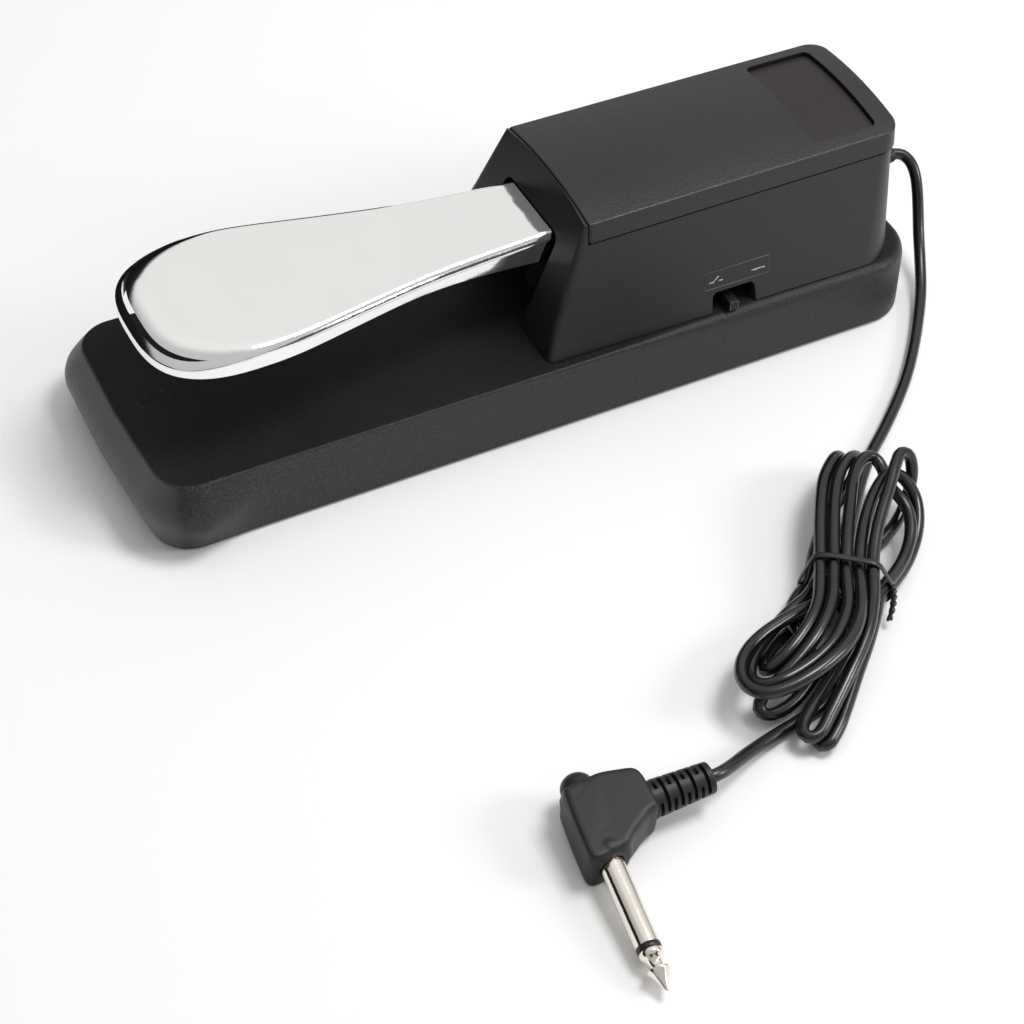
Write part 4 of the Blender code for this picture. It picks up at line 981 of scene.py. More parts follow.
prints = [stroke("print_frame", PRINT_FRAME_CORNERS, 0.14, closed=True)]
for index, (y, rise) in enumerate(SYMBOLS):
    prints += contact_symbol(index, y, rise)
for piece in prints:
    ink = PRINT_FRAME if piece.name == "print_frame" else PRINT
    done(piece, "grey_abs", ink, sharp=0, weighted=False)

# ---------------------------------------------------------------- lever
TREAD_MAX_Y, TOE_Y, TREAD_HALF, TOE_POWER = -84.0, -112.2, 24.9, 2.9
ARM_HALF, ARM_END = 12.8, 94.0
# y, half-width of the neck
NECK = ((-84, 24.8), (-76, 24.3), (-68, 23.1), (-60, 21.55), (-52, 20.0), (-44, 18.5),
        (-36, 17.1), (-28, 15.95), (-20, 15.05), (-12, 14.3), (-4, 13.6), (4, 13.05),
        (14, ARM_HALF), (24, ARM_HALF))
NECK_END = 14
LEVER_TOP_TOE, LEVER_TOP_SLOPE, ARM_TOP = 54.3, 0.030, 50.7
LEVER_UNDER, ARM_UNDER = 46.9, 41.5
UNDER_R = 0.9
LIP = 1.1                       # radius that turns the upright rim into the dished edge
LEVER_SKIN = 1.9
PIVOT_Y, PIVOT_Z = 72.0, 45.5
SPRING_Y = 28


def neck_half(y):
    """Smooth curve through the neck's stations."""
    if y >= NECK_END:
        return ARM_HALF
    k = max(i for i in range(len(NECK) - 1) if NECK[i][0] <= y)
    (y0, half0), (y1, half1) = NECK[k], NECK[k + 1]

    def slope(i):
        if i <= 0:
            return 0.0
        return (NECK[i + 1][1] - NECK[i - 1][1]) / (NECK[i + 1][0] - NECK[i - 1][0])

    return hermite((y - y0) / (y1 - y0), half0, half1,
                   slope(k) * (y1 - y0), slope(k + 1) * (y1 - y0))


def lever_outline(rear, toe_steps=26, step=2.5):
    """Superellipse toe, then the neck and, if it reaches that far, the arm."""
    reach, power = TREAD_MAX_Y - TOE_Y, 2 / TOE_POWER
    points = []
    for i in range(toe_steps):
        angle = radians(90 * i / toe_steps)
        points.append((TREAD_HALF * sin(angle) ** power,
                       TREAD_MAX_Y - reach * cos(angle) ** power))
    y = TREAD_MAX_Y
    while y < min(rear - 1, 16):
        points.append((neck_half(y), y))
        y += step
    if rear > 60:
        points += [(ARM_HALF, 40), (ARM_HALF, rear - 2), (ARM_HALF - 0.6, rear - 0.6),
                   (ARM_HALF - 2, rear)]
    else:
        points.append((neck_half(rear), rear))
    return ring(points + [(0, rear)])


def lever_top(y):
    return max(LEVER_TOP_TOE - LEVER_TOP_SLOPE * (y + 105), ARM_TOP)


def lever_under(y):
    return LEVER_UNDER - (LEVER_UNDER - ARM_UNDER) * clamp((y + 44) / 48) ** 1.6


def edge_drop(y):
    """How far the dished edge falls below the top."""
    return 4.3 - 2.9 * ease((y - TOE_Y) / 30)


def edge_width(y):
    return 8.6 - 6.4 * ease((y - TOE_Y - 2) / 34)


def lever_rings():
    outline = lever_outline(ARM_END)
    rings = []

    def add_ring(amount, height):
        moved = inset(outline, amount)
        rings.append([(x, y, height(place[1])) for (x, y), place in zip(moved, outline)])

    for k in range(5):
        angle = radians(22.5 * k)
        add_ring(lambda x, y: UNDER_R * (1 - sin(angle)),
                 lambda y: lever_under(y) + UNDER_R * (1 - cos(angle)))
    for k in range(5):
        angle = radians(11.25 * k)
        add_ring(lambda x, y: LIP * (1 - cos(angle)),
                 lambda y: lever_top(y) - edge_drop(y) - LIP * (sin(radians(45)) - sin(angle)))
    for k in range(1, 17):
        part = k / 16
        add_ring(lambda x, y: LIP * 0.293 + edge_width(y) * part,
                 lambda y: lever_top(y) - edge_drop(y) * (1 - part) ** 2)
    return rings


def build_lever():
    lever = strip_loft("lever_body", lever_rings(), divide=10)
    inner = inset(lever_outline(-8.0, 14, 6.0), lambda x, y: LEVER_SKIN)
    roof = [(x, y, lever_top(y) - LEVER_SKIN) for x, y in inner]
    cut(lever, strip_loft("hollow", [at_height(inner, 38.0), roof]))
    add(lever, rod("hub", (-ARM_HALF, PIVOT_Y, PIVOT_Z), (ARM_HALF, PIVOT_Y, PIVOT_Z), 6.5, 48))
    add(lever, rod("spring_boss", (0, SPRING_Y, 38.5), (0, SPRING_Y, ARM_UNDER + 1), 4.4, 32))
    cut(lever, rod("bore", (-30, PIVOT_Y, PIVOT_Z), (30, PIVOT_Y, PIVOT_Z), 4.6, 48))
    done(lever, "chrome", body="lever", replaces="pedal_lever", sharp=30)


build_lever()

# ---------------------------------------------------------------- slider knob
knob = block("slider_knob", 25.8, 34.0, 52.0, 55.2, 22.8, 25.7)
bevel(knob, 0.35, 3)
for i in range(3):
    cut(knob, block("grip", 33.7, 34.6, 52.75 + 0.7 * i, 53.05 + 0.7 * i, 22.0, 26.4))
add(knob, block("foot", 22.4, 26.5, 52.6, 54.6, 23.9, 25.3))
done(knob, "switch_black", KNOB, body="polarity_slider", replaces="polarity_knob", sharp=34)

# ---------------------------------------------------------------- return spring
COIL_LOW, COIL_HIGH, COIL_TURNS, COIL_R, COIL_END_PITCH = 25.85, 40.4, 6, 6.0, 1.8


def coil_height(turn):
    """Close first and last turns, with an even rise between them."""
    if turn <= 1:
        return COIL_LOW + COIL_END_PITCH * turn
    if turn >= COIL_TURNS - 1:
        return COIL_HIGH - COIL_END_PITCH * (COIL_TURNS - turn)
    rise = COIL_HIGH - COIL_LOW - 2 * COIL_END_PITCH
    return COIL_LOW + COIL_END_PITCH + rise * (turn - 1) / (COIL_TURNS - 2)


coil = []
for i in range(COIL_TURNS * 30 + 1):
    turn = i / 30
    coil.append((COIL_R * cos(2 * pi * turn), SPRING_Y + COIL_R * sin(2 * pi * turn),
                 coil_height(turn)))
spring = tube("return_coil", coil, 0.7, 10)
done(spring, "spring_steel", replaces="return_spring", sharp=0, weighted=False)
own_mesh(spring)

# ---------------------------------------------------------------- cable
PLUG_ROOT = Vector((172.7, -62.8, 6.4))
PLUG_DIR = Vector((32.3, -3.9, -2.9)).normalized()
# the plug's side arm, from the barrel to the mouth where the cable enters
ARM_A, ARM_B = Vector((160.9, -60.7, 7.2)), Vector((162.3, -29.6, 8.4))
SIDE_ARM = ARM_B - ARM_A
ARM_DIR = SIDE_ARM.normalized()

# x, y, z along the cable
CABLE_PATH = [
    # out of the housing, down to the floor and round to the hank
    (0, 94.5, 29), (0, 104, 29), (0, 113, 29), (0, 121, 29), (0, 128.4, 29),
    (1.0, 131.6, 28.6), (3.4, 133.2, 27.2), (6.3, 133.6, 24.6), (9.2, 133.2, 21.0),
    (12.6, 132.2, 16.4), (17.2, 130.4, 11.2), (23.8, 127.4, 6.6), (32.2, 122.6, 3.4),
    (41.2, 115.8, 2.0), (51.4, 107.1, 1.7), (60.9, 97.9, 1.7), (69.7, 87.8, 1.7),
    (76.5, 79.2, 1.8),
    # the hank, back and forth through the tie, and on to the plug
    (80.9, 73.3, 2.0), (84.1, 69.4, 2.0), (89.4, 63.7, 2.0), (95.4, 57.8, 2.0),
    (102.1, 51.4, 2.2), (109.2, 45.1, 3.0), (115.0, 40.6, 3.4), (121.5, 36.2, 3.0),
    (130.0, 32.3, 2.0), (137.5, 28.4, 2.0), (144.3, 23.0, 2.0), (150.4, 16.6, 2.0),
    (155.6, 10.2, 2.0), (159.3, 4.9, 2.0), (161.2, 3.2, 2.2), (162.9, 4.3, 3.0),
    (160.9, 8.6, 4.0), (155.4, 15.3, 5.0), (148.6, 22.8, 6.0), (141.8, 30.4, 6.5),
    (135.2, 36.9, 7.0), (130.1, 41.3, 7.0), (127.5, 45.2, 7.0), (125.2, 49.8, 7.0),
    (122.2, 54.5, 7.5), (118.2, 59.0, 8.0), (114.0, 62.2, 9.0), (109.5, 64.1, 10.0),
    (105.9, 64.1, 11.0), (102.0, 64.0, 11.0), (97.6, 64.9, 10.5), (93.4, 66.1, 11.0),
    (90.4, 65.3, 12.0), (90.4, 62.0, 13.0), (93.1, 57.6, 13.5), (98.0, 53.1, 14.0),
    (104.3, 48.4, 14.0), (110.8, 43.7, 13.5), (116.7, 39.7, 13.0), (121.3, 36.8, 12.5),
    (126.4, 33.9, 12.5), (132.3, 30.2, 13.0), (138.1, 24.8, 14.0), (142.5, 18.7, 14.0),
    (145.1, 12.0, 13.5), (146.4, 5.6, 13.0), (146.7, 0.0, 12.5), (145.1, -4.0, 11.0),
    (141.7, -5.0, 9.5), (137.6, -2.9, 8.0), (133.6, 1.5, 6.5), (130.3, 7.3, 5.5),
    (128.1, 13.0, 5.0), (126.1, 18.8, 4.6), (123.4, 24.8, 4.2), (119.2, 30.4, 4.2),
    (112.9, 36.3, 4.2), (105.3, 42.1, 3.8), (97.9, 47.9, 3.8), (90.7, 54.3, 4.0),
    (87.1, 58.2, 5.5), (85.7, 59.0, 8.0), (86.7, 56.2, 11.0), (90.0, 51.4, 12.5),
    (93.5, 47.4, 13.0), (99.0, 42.9, 13.0), (106.5, 37.7, 12.8), (113.2, 33.5, 12.4),
    (117.9, 30.6, 12.0), (122.8, 27.3, 12.0), (127.7, 23.6, 12.2), (131.7, 19.3, 12.4),
    (134.9, 14.4, 12.0), (137.5, 8.9, 11.0), (138.9, 4.4, 9.5), (138.9, 1.5, 8.0),
    (136.0, 2.4, 6.0), (132.4, 6.4, 4.2), (128.8, 12.4, 3.0), (126.5, 18.2, 2.4),
    (124.5, 24.1, 2.0), (121.0, 30.3, 2.0), (117.5, 36.5, 2.0), (114.7, 43.0, 2.0),
    (112.8, 49.6, 2.0), (110.6, 56.2, 2.2), (107.4, 63.0, 3.0), (103.7, 68.1, 5.0),
    (101.2, 70.6, 9.0), (99.3, 71.5, 13.0), (97.4, 70.9, 16.5), (97.1, 68.3, 18.0),
    (100.4, 64.1, 18.0), (105.2, 59.2, 17.0), (110.4, 53.5, 16.0), (115.3, 48.4, 15.0),
    (120.4, 43.8, 14.0), (124.7, 40.5, 13.4), (130.0, 37.2, 13.0), (135.0, 33.8, 12.5),
    (140.9, 29.1, 12.0), (145.9, 23.7, 11.0), (150.1, 18.4, 10.0), (154.1, 13.1, 8.5),
    (157.8, 8.0, 7.0), (160.7, 3.6, 5.6), (160.7, 1.0, 5.2), (158.5, 0.1, 5.2),
    (155.7, 2.2, 5.2), (152.8, 6.3, 5.2), (149.4, 11.7, 5.2), (145.2, 18.2, 5.5),
    (140.6, 24.7, 5.5), (135.6, 31.7, 5.0), (131.6, 38.1, 4.2), (128.4, 43.8, 3.6),
    (126.0, 48.9, 3.6), (122.8, 54.8, 3.8), (118.9, 60.1, 4.5), (114.7, 64.3, 5.5),
    (110.8, 67.0, 7.0), (106.7, 68.7, 8.5), (102.9, 68.5, 10.5), (99.9, 67.1, 12.0),
    (99.0, 64.1, 12.8), (101.3, 59.5, 13.2), (105.6, 53.9, 13.2), (110.9, 48.6, 13.0),
    (117.1, 43.4, 12.6), (122.5, 39.5, 12.4), (128.4, 36.0, 12.8), (135.0, 31.7, 13.5),
    (141.5, 25.9, 15.0), (146.1, 19.4, 15.5), (149.0, 12.3, 15.5), (150.5, 5.8, 15.0),
    (150.8, -0.4, 14.0), (149.6, -5.5, 13.0), (146.5, -8.0, 12.0), (142.0, -7.8, 10.5),
    (137.4, -5.2, 9.0), (133.3, -0.8, 8.0), (130.2, 4.9, 7.4), (128.1, 10.8, 7.0),
    (126.7, 16.1, 6.6), (125.4, 21.3, 5.5), (124.0, 27.0, 3.8), (124.4, 32.0, 2.2),
    (129.1, 32.3, 1.9), (133.9, 29.1, 1.9), (138.2, 23.4, 1.9), (141.7, 17.6, 2.0),
    (145.1, 11.5, 2.2), (148.0, 5.6, 2.2), (149.3, 0.4, 2.2), (149.0, -4.0, 2.6),
    (147.2, -5.4, 3.8), (145.5, -3.8, 5.6), (144.3, -0.2, 7.4), (143.0, 4.7, 9.3),
    (140.9, 10.5, 11.0), (138.0, 16.3, 12.4), (134.0, 21.8, 12.8), (128.8, 26.9, 12.6),
    (123.3, 30.9, 12.4), (119.8, 33.4, 12.6), (114.3, 36.8, 12.8), (107.6, 41.0, 13.2),
    (99.6, 46.4, 13.6), (93.6, 51.4, 13.8), (89.3, 56.7, 13.0), (86.7, 61.6, 10.5),
    (86.4, 63.6, 7.5), (88.8, 60.7, 5.6), (92.1, 55.0, 4.2), (95.8, 49.1, 3.0),
    (100.7, 43.0, 2.2), (106.4, 37.6, 2.0), (111.3, 33.5, 2.2), (116.2, 29.0, 2.6),
    (119.3, 24.1, 3.2), (122.9, 20.0, 3.6), (126.7, 17.8, 3.2), (130.5, 17.5, 2.4),
    (135.2, 17.9, 1.8), (140.7, 18.3, 1.7), (146.0, 17.4, 1.7), (150.0, 13.9, 1.7),
    (152.0, 8.7, 1.7), (153.1, 3.6, 1.7), (154.2, -2.5, 2.0), (156.0, -9.6, 3.2),
    (158.5, -16.9, 5.2), (161.0, -22.9, 7.2),
]
CABLE_PATH += [tuple(ARM_B + ARM_DIR * reach) for reach in (2, -4, -8)]
FIXED_START, FIXED_END = 150, 22        # lengths at either end that settling leaves alone


def settle(points, radius, rounds):
    """Pushes strands apart until they barely touch, and keeps them off the floor."""
    start = np.array(points)
    place = start.copy()
    length = run_length(place)
    far = np.abs(length[:, None] - length[None, :]) > 4.2 * radius
    spacing = 2 * radius + 0.05
    free = np.ones(len(place))
    free[length < FIXED_START] = 0.0
    free[length > length[-1] - FIXED_END] = 0.0
    for _ in range(rounds):
        gap = place[:, None, :] - place[None, :, :]
        distance = np.sqrt((gap ** 2).sum(2)) + 1e-9
        hit = far & (distance < spacing)
        push = np.where(hit, (spacing - distance) / distance, 0.0)[:, :, None] * gap
        move = push.sum(1) * 0.22
        move[:, 2] *= 0.8
        place = place + move * free[:, None]
        offset = place - start
        for _ in range(2):
            offset[1:-1] = 0.25 * offset[:-2] + 0.5 * offset[1:-1] + 0.25 * offset[2:]
        offset *= free[:, None]
        place = start + offset
        place[:, 2] = np.maximum(place[:, 2], radius + 0.05)
    return place


line = settle(spline(CABLE_PATH, 1.7), CABLE_R, 220)
line = spline(line, 1.25)
cable = tube("cable_jacket", line, CABLE_R, 16)
done(cable, "cable_pvc", replaces="cable", sharp=0, weighted=False)

# ---------------------------------------------------------------- tie round the hank
TIE_AT = Vector((121.6, 36.8, 0))
TIE_ALONG = Vector((12.6, 15.7, 0)).normalized()
TIE_NORMAL = Vector((TIE_ALONG.y, -TIE_ALONG.x, 0))
TIE_REACH = 16                  # strands further than this from the centre are left out
TIE_CLEAR = 0.25
BAND_HALF_WIDTH, BAND_HALF_THICK, BAND_LIFT = 0.95, 0.36, 0.35


def hull(points):
    """Convex hull, counter-clockwise."""
    ordered = sorted(set((round(x, 4), round(y, 4)) for x, y in points))

    def chain(sequence):
        kept = []
        for q in sequence:
            while len(kept) > 1:
                (x0, y0), (x1, y1) = kept[-2:]
                if (x1 - x0) * (q[1] - y0) - (y1 - y0) * (q[0] - x0) > 0:
                    break
                kept.pop()
            kept.append(q)
        return kept[:-1]

    return chain(ordered) + chain(reversed(ordered))


def tie_loop():
    """Loop round the strands where they cross the tie's plane, as (along, z), and normals."""
    samples = []
    radius = CABLE_R + TIE_CLEAR
    for start, end in zip(line, line[1:]):
        before = (Vector(start) - TIE_AT).dot(TIE_NORMAL)
        after = (Vector(end) - TIE_AT).dot(TIE_NORMAL)
        if before * after <= 0 and abs(before - after) > 1e-9:
            hit = Vector(start).lerp(Vector(end), before / (before - after))
            along = (hit - TIE_AT).dot(TIE_ALONG)
            if abs(along) < TIE_REACH:
                for k in range(24):
                    angle = radians(15 * k)
                    samples.append((along + radius * cos(angle),
                                    max(hit.z + radius * sin(angle), 0.35)))
    loop = relaxed(hull(samples), 0.8, 6)
    edge = np.roll(loop, -1, 0) - np.roll(loop, 1, 0)
    outward = np.stack([edge[:, 1], -edge[:, 0]], 1)
    outward /= np.linalg.norm(outward, axis=1)[:, None]
    return loop + outward * BAND_LIFT, outward


def build_tie_band(loop, outward):
    angles = [radians(30 * k) for k in range(12)]
    profile = [(BAND_HALF_WIDTH * cos(a), BAND_HALF_THICK * sin(a)) for a in angles]
    rings = []
    for i, (place, away) in enumerate(zip(loop, outward)):
        sway = 0.35 * sin(2 * pi * i / len(loop) * 2 + 0.6)
        points = []
        for width, thick in profile:
            spot = (TIE_AT + TIE_ALONG * (place[0] + away[0] * thick)
                    + TIE_NORMAL * (width + sway))
            points.append((spot.x, spot.y, max(place[1] + away[1] * thick, 0.02)))
        rings.append(points)
    band = loft("tie_band", rings, wrap=True)
    done(band, "tie_pvc", replaces="twist_tie", sharp=0, weighted=False)


def build_tie_tail(index, root):
    """One of two ends twisted round each other."""
    twist = []
    for i in range(40):
        part = i / 39
        angle = part * 2.6 * 2 * pi + pi * index
        centre = (root + TIE_NORMAL * (7.6 * part) + TIE_ALONG * (0.9 * sin(part * 2.4))
                  + Vector((0, 0, -5.0 * part * part)))
        around = TIE_ALONG * cos(angle) + Vector((0, 0, 1)) * sin(angle)
        twist.append(centre + around * (0.46 - 0.1 * part))
    tail = tube(f"tie_tail_{index + 1}", spline(twist, 0.4), lambda part: 0.58 - 0.12 * part, 10)
    done(tail, "tie_pvc", sharp=0, weighted=False)


loop, outward = tie_loop()
build_tie_band(loop, outward)
tail_start = max(loop, key=lambda q: q[0] + 0.25 * q[1])
for index in (0, 1):
    build_tie_tail(index, TIE_AT + TIE_ALONG * tail_start[0] + Vector((0, 0, tail_start[1])))

# ---------------------------------------------------------------- flexible reliefs
SLEEVE_BORE, SLEEVE_BORE_DEPTH, SLEEVE_MOUTH = 1.75, 4.0, 0.35
SLOT_END_ANGLE = 0.42           # half the angle left solid between two slots
PLUG_SLEEVE = 18.6
NECK_LENGTH = SIDE_ARM.length - PLUG_SLEEVE
# radius, y
REAR_COLLAR = ((SLEEVE_BORE, 106.4), (5.7, 106.4), (6.0, 106.7), (6.0, 108.5), (5.7, 108.8),
               (4.4, 108.8), (4.4, 112.0), (5.1, 112.0), (5.4, 112.25), (5.4, 112.9),
               (5.0, 113.3), (3.6, 113.9), (3.4, 114.2), (SLEEVE_BORE, 114.2))


def slotted_sleeve(name, centre, axis, length, root_r, tip_r, rows, first, pitch, wide, deep,
                   turn):
    """A tapered sleeve with staggered slots cut round it, open at its far end."""
    side, up, along = axes_of(axis)
    slots = [first + pitch * k for k in range(rows)]
    heights = {0.0, length, length - SLEEVE_MOUTH, length - SLEEVE_MOUTH * 0.4, 0.25}
    for middle in slots:
        for edge in (0.10, 0.02, -0.06):
            heights.add(round(middle - (wide / 2 + edge), 4))
            heights.add(round(middle + (wide / 2 + edge), 4))
    height = 0.0
    while height < length:
        heights.add(round(height, 4))
        height += 0.6

    def radius(height, angle):
        reach = root_r + (tip_r - root_r) * height / length
        into_mouth = height - (length - SLEEVE_MOUTH)
        if height > length - SLEEVE_MOUTH:
            reach -= SLEEVE_MOUTH * (1 - sqrt(max(0.0, 1 - (into_mouth / SLEEVE_MOUTH) ** 2)))
        for k, middle in enumerate(slots):
            if abs(height - middle) < wide / 2 + 0.01:
                local = (angle - turn - (k % 2) * pi / 2) % pi
                if SLOT_END_ANGLE < local < pi - SLOT_END_ANGLE:
                    return reach - deep
        return reach

    rings = []
    for height in sorted(q for q in heights if 0 <= q <= length):
        rings.append(circle(Vector(centre) + along * height, side, up,
                            lambda angle: radius(height, angle), 96))
    for height in (length, length - SLEEVE_BORE_DEPTH):
        rings.append(circle(Vector(centre) + along * height, side, up, SLEEVE_BORE, 96))
    sleeve = loft(name, rings)
    done(sleeve, "boot_pvc", sharp=38, weighted=False)


slotted_sleeve("plug_relief", ARM_A + ARM_DIR * NECK_LENGTH, ARM_DIR, PLUG_SLEEVE,
               root_r=4.9, tip_r=4.05, rows=9, first=1.5, pitch=1.87, wide=0.92, deep=1.3,
               turn=0.55)
slotted_sleeve("rear_relief", (0, 113.2, CABLE_Z), (0, 1, 0), 15.4,
               root_r=3.5, tip_r=2.35, rows=6, first=2.2, pitch=2.1, wide=0.8, deep=0.75,
               turn=0.3)
collar = lathe("rear_collar", REAR_COLLAR, (0, 0, CABLE_Z), (0, 1, 0), 56, closed=True)
done(collar, "boot_pvc", replaces="strain_relief", sharp=38)

# ---------------------------------------------------------------- plug boot
# x, y round the web between barrel and side arm
WEB_OUTLINE = ((152.6, -65.9), (162.0, -67.6), (172.6, -69.0), (173.9, -67.0), (173.0, -58.0),
               (171.0, -56.0), (169.2, -52.6), (167.4, -49.6), (167.2, -46.4), (156.8, -45.9),
               (154.6, -46.9), (152.2, -55.6))
WEB_HALF_THICK, WEB_ROUND = 6.2, 1.7
# the turned profiles below are (radius, distance along the axis)
BOOT_BACK, BOOT_R = -20.5, 5.7
BOOT_BARREL = [(0, -0.2), (5.0, -0.2), (5.5, -0.7), (BOOT_R, -1.6), (BOOT_R, BOOT_BACK + 2.2),
               (5.3, BOOT_BACK + 0.6), (4.5, BOOT_BACK), (0, BOOT_BACK)]
DOME_R, DOME_START, DOME_RISE = 4.35, -21.4, 4.0
BOOT_NECK = [(0, 2.0), (BOOT_R, 2.0), (BOOT_R, NECK_LENGTH - 1.2), (5.45, NECK_LENGTH - 0.4),
             (4.8, NECK_LENGTH + 0.1), (0, NECK_LENGTH + 0.1)]
BOOT_COLLAR = [(0, -3.4), (5.9, -3.4), (6.1, -2.4), (5.9, -0.9), (5.0, 0.1), (0, 0.1)]
SOCKET = [(0, 2.0), (3.45, 2.0), (3.45, -4.6), (0, -4.6)]


def web_z(x, y):
    """Mid-height of the web, which follows the slope of the barrel and of the arm."""
    level_dir = Vector((PLUG_DIR.x, PLUG_DIR.y, 0)).normalized()
    along = (Vector((x, y, 0)) - Vector((PLUG_ROOT.x, PLUG_ROOT.y, 0))).dot(level_dir)
    up_arm = (y - ARM_A.y) / (ARM_B.y - ARM_A.y)
    return PLUG_ROOT.z - 0.092 * along + clamp(up_arm) - 0.4


def build_boot():
    flat = relaxed(WEB_OUTLINE, 0.7, 5)
    rings = []
    for k in range(13):
        angle = radians(-90 + 15 * k)
        rise = WEB_HALF_THICK * copysign(abs(sin(angle)) ** 0.5, sin(angle))
        less = WEB_ROUND * (1 - abs(cos(angle)) ** 0.5)
        moved = inset(flat, lambda x, y: less)
        rings.append([(x, y, max(web_z(x, y) + rise, 0.15)) for x, y in moved])
    boot = loft("plug_moulding", rings)
    dome = [(0, -17.0), (DOME_R, -17.0), (DOME_R, DOME_START)]
    for k in range(1, 10):
        angle = radians(9 * k)
        dome.append((DOME_R * cos(angle), DOME_START - DOME_RISE * sin(angle)))
    dome.append((0, -25.4))
    merge(boot, lathe("barrel", BOOT_BARREL, PLUG_ROOT, PLUG_DIR),
          lathe("dome", dome, PLUG_ROOT, PLUG_DIR),
          lathe("neck", BOOT_NECK, ARM_A, ARM_DIR),
          lathe("front_collar", BOOT_COLLAR, PLUG_ROOT, PLUG_DIR))
    remesh(boot, 0.3, 6)
    cut(boot, lathe("socket", SOCKET, PLUG_ROOT, PLUG_DIR, 64))
    done(boot, "boot_pvc", replaces="plug_boot", sharp=50, weighted=False)


build_boot()

# ---------------------------------------------------------------- plug contacts
BARREL_END, BARREL_R = 22.9, 3.175
TIP_START, TIP_UNIT = BARREL_END + 3.0, 1.2     # the tip's shape is drawn in tip units
BARREL = [(2.3, -4.5), (BARREL_R, -4.5), (BARREL_R, BARREL_END - 0.3),
          (3.1, BARREL_END - 0.08), (2.9, BARREL_END), (2.3, BARREL_END)]
INSULATOR = [(1.3, -2.0), (2.2, -2.0), (2.2, 0.05), (3.0, 0.05), (3.08, 0.15),
             (3.08, 1.25), (3.0, 1.35), (1.3, 1.35)]    # distance past the barrel's end


def tip_profile():
    """Core, shoulder, waist, rounded head and cone, from the root outwards."""
    points = [(0, -3.0), (1.2, -3.0), (1.2, BARREL_END + 1.4), (2.9, BARREL_END + 1.4),
              (3.05, BARREL_END + 1.55), (3.05, BARREL_END + 2.5), (2.8, TIP_START)]
    for k in range(1, 9):
        part = k / 8
        points.append((2.8 - 1.0 * sin(part * pi / 2), TIP_START + 1.5 * TIP_UNIT * part))
    for k in range(1, 7):
        angle = k / 6 * pi / 2
        points.append((1.8 + 1.05 * (1 - cos(angle)),
                       TIP_START + TIP_UNIT * (1.5 + 1.3 * sin(angle))))
    points += [(2.87, TIP_START + TIP_UNIT * 3.0), (2.72, TIP_START + TIP_UNIT * 3.3)]
    for k in range(1, 9):
        part = k / 8
        points.append((2.72 - 2.15 * part - 0.18 * sin(part * pi),
                       TIP_START + TIP_UNIT * (3.3 + 3.8 * part)))
    return points + [(0.36, TIP_START + TIP_UNIT * 7.3), (0, TIP_START + TIP_UNIT * 7.4)]


barrel = lathe("plug_barrel", BARREL, PLUG_ROOT, PLUG_DIR, 72, closed=True)
done(barrel, "nickel", replaces="plug_sleeve", sharp=40)
insulator = lathe("plug_ring", [(radius, BARREL_END + past) for radius, past in INSULATOR],
                  PLUG_ROOT, PLUG_DIR, 64, closed=True)
done(insulator, "switch_black", replaces="plug_insulator", sharp=40)
point = lathe("plug_point", tip_profile(), PLUG_ROOT, PLUG_DIR, 72)
done(point, "nickel", replaces="plug_tip", sharp=46, weighted=False)

# ---------------------------------------------------------------- pieces kept from the frame
slot_of = {part["node"]: part["material_slot"] for part in frame["record"]["subparts"]}
for name, obj in frame["nodes"].items():
    if obj.hide_render:
        obj.data.materials.clear()
        obj.data.materials.append(LOOKS[slot_of[name]])
    else:
        dress(obj, LOOKS[slot_of[name]], sharp=32)


# ---------------------------------------------------------------- floor and card, in metres
def sheet(name, corners, mat):
    mesh = bpy.data.meshes.new(name)
    mesh.from_pydata(corners, [], [(0, 1, 2, 3)])
    obj = bpy.data.objects.new(name, mesh)
    scene.collection.objects.link(obj)
    mesh.materials.append(mat.material)
    return obj


white = Mat("floor_white", (0.86, 0.86, 0.86), rough=0.7, spec=0.2)
white.set("Base Color", white.ramp(white.noise(3.0), [(0.3, (0.87, 0.87, 0.87)),
                                                      (0.7, (0.885, 0.885, 0.885))]))
floor = sheet("floor", [(-6, -6, 0), (6, -6, 0), (6, 6, 0), (-6, 6, 0)], white)
floor.location.z = -0.0001

# an upright black card on the -X side, seen only in reflections
card = sheet("black_card", [(-0.17, -0.42, 0.0), (-0.13, 0.02, 0.0), (-0.13, 0.02, 0.088),
                            (-0.17, -0.42, 0.088)],
             Mat("card_black", (0.01, 0.01, 0.01), rough=0.9, spec=0.0))
card.visible_camera = card.visible_diffuse = False
card.visible_shadow = card.visible_transmission = False

# ---------------------------------------------------------------- world
world = bpy.data.worlds.new("studio")
scene.world = world
world.use_nodes = True
sky = Nodes(world.node_tree, "Generated")
up = sky.split(sky.place)[2]


def fade(value, over, to=(0.0, 1.0)):
    return sky.span(value, over, to, "SMOOTHSTEP")


def facing(*direction):
    """Cosine of the angle between the view direction and the given one."""
    inputs = {0: sky.place, 1: Vector(direction).normalized()}
    return sky.node("ShaderNodeVectorMath", inputs, operation="DOT_PRODUCT")["Value"]


# bright ceiling, a little darker towards the horizon, with a soft glow high up
strength = sky.plus(fade(up, over=(0.0, 0.9), to=(0.42, 0.56)),
                    fade(facing(-0.58, 0.36, 0.73), over=(0.55, 0.86), to=(0.0, 0.32)))
# brighter low sky on the +X side
low_sky = sky.times(fade(facing(0.92, 0.39, 0.0), over=(0.45, 0.75)),
                    fade(up, over=(0.62, 0.50)))
strength = sky.plus(strength, sky.times(low_sky, 0.45))
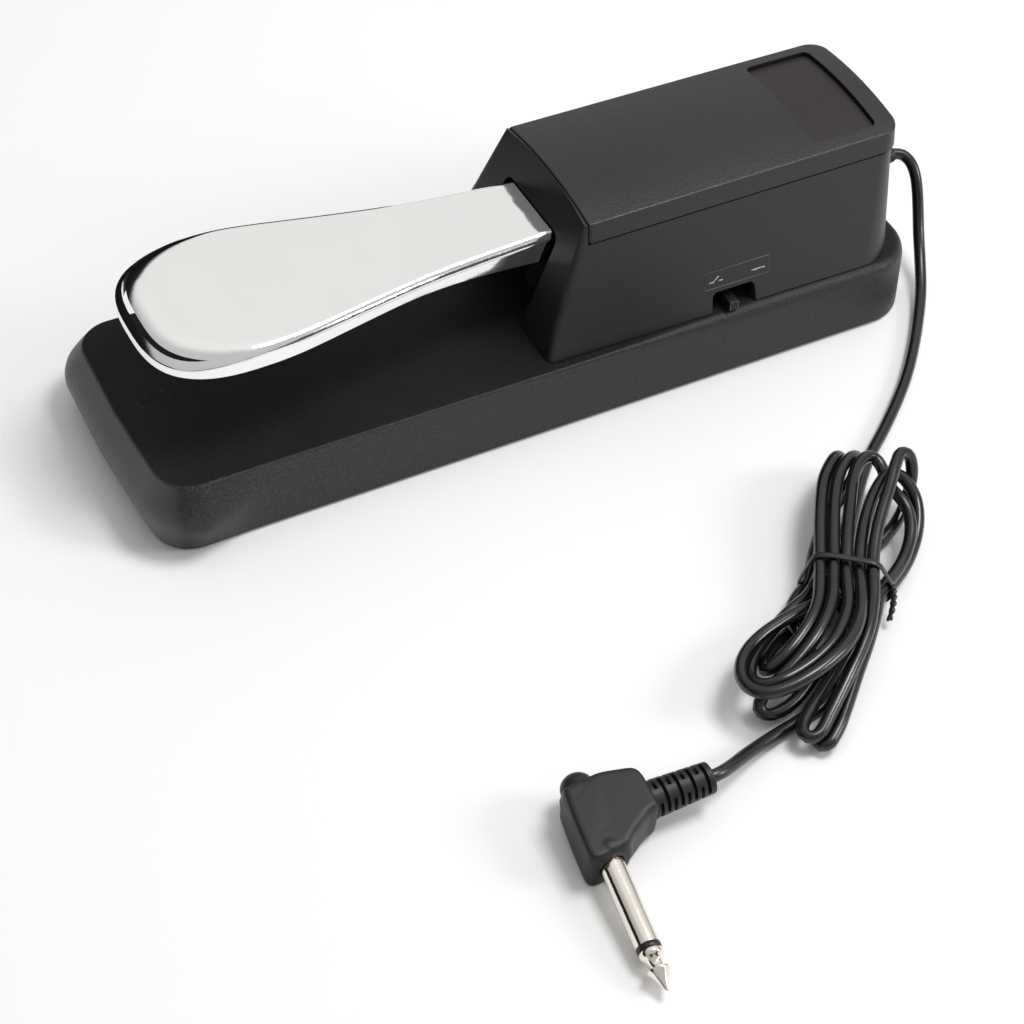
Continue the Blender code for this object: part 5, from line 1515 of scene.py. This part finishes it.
# a wavering dark band across it
band_height = sky.plus(0.30, sky.times(sky.noise(9, detail=3), 0.25))
off_band = sky.math("ABSOLUTE", sky.math("SUBTRACT", up, band_height))
streak = sky.times(fade(off_band, over=(0.14, 0.08)),
                   fade(facing(0.92, 0.39, 0.3), over=(0.45, 0.65)))
strength = sky.times(strength, fade(streak, over=(0.0, 1.0), to=(1.0, 0.05)))
# an unlit corner of the room towards -X and -Y
corner = sky.times(fade(facing(-0.66, -0.75, 0.0), over=(0.28, 0.60)),
                   fade(up, over=(0.56, 0.36)))
strength = sky.times(strength, fade(corner, over=(0.0, 1.0), to=(1.0, 0.02)))
background = world.node_tree.nodes["Background"]
sky.feed(background.inputs["Strength"], strength)
sky.feed(background.inputs["Color"], (1.0, 0.995, 0.985))


# ---------------------------------------------------------------- lights and camera
def area(name, place, target, size, power):
    """Square area light aimed at a target."""
    data = bpy.data.lights.new(name, "AREA")
    data.shape = "RECTANGLE"
    data.size = data.size_y = size
    data.energy = power
    light = bpy.data.objects.new(name, data)
    light.location = place
    aim = Vector(target) - Vector(place)
    light.rotation_euler = aim.to_track_quat("-Z", "Y").to_euler()
    scene.collection.objects.link(light)


area("key_top", place=(0.15, 0.45, 1.15), target=(0.05, 0.0, 0.0), size=0.42, power=8)
area("fill_rear", place=(0.75, 1.0, 0.7), target=(0.05, 0.1, 0.02), size=0.4, power=6)

# camera angles in degrees; offsets in metres along its right, up and backward axes
AZIMUTH, ELEVATION, ROLL = radians(58.57), radians(46.91), radians(4.89)
CAMERA_RIGHT, CAMERA_UP, CAMERA_BACK = 0.00228, -0.04723, 0.7012

camera = bpy.data.cameras.new("camera")
camera_object = bpy.data.objects.new("camera", camera)
scene.collection.objects.link(camera_object)
backward = Vector((sin(AZIMUTH) * cos(ELEVATION), -cos(AZIMUTH) * cos(ELEVATION),
                   sin(ELEVATION)))
level_right = Vector((cos(AZIMUTH), sin(AZIMUTH), 0))
level_up = backward.cross(level_right)
right = level_right * cos(ROLL) + level_up * sin(ROLL)
upward = level_up * cos(ROLL) - level_right * sin(ROLL)
place = right * CAMERA_RIGHT + upward * CAMERA_UP + backward * CAMERA_BACK
rotation = Matrix((right, upward, backward)).transposed()
camera_object.matrix_world = Matrix.Translation(place) @ rotation.to_4x4()
camera.sensor_width = 36
camera.lens = 85.825195
camera.clip_start, camera.clip_end = 0.02, 20
scene.camera = camera_object
scene.view_settings.view_transform = "Standard"
scene.view_settings.look = "None"
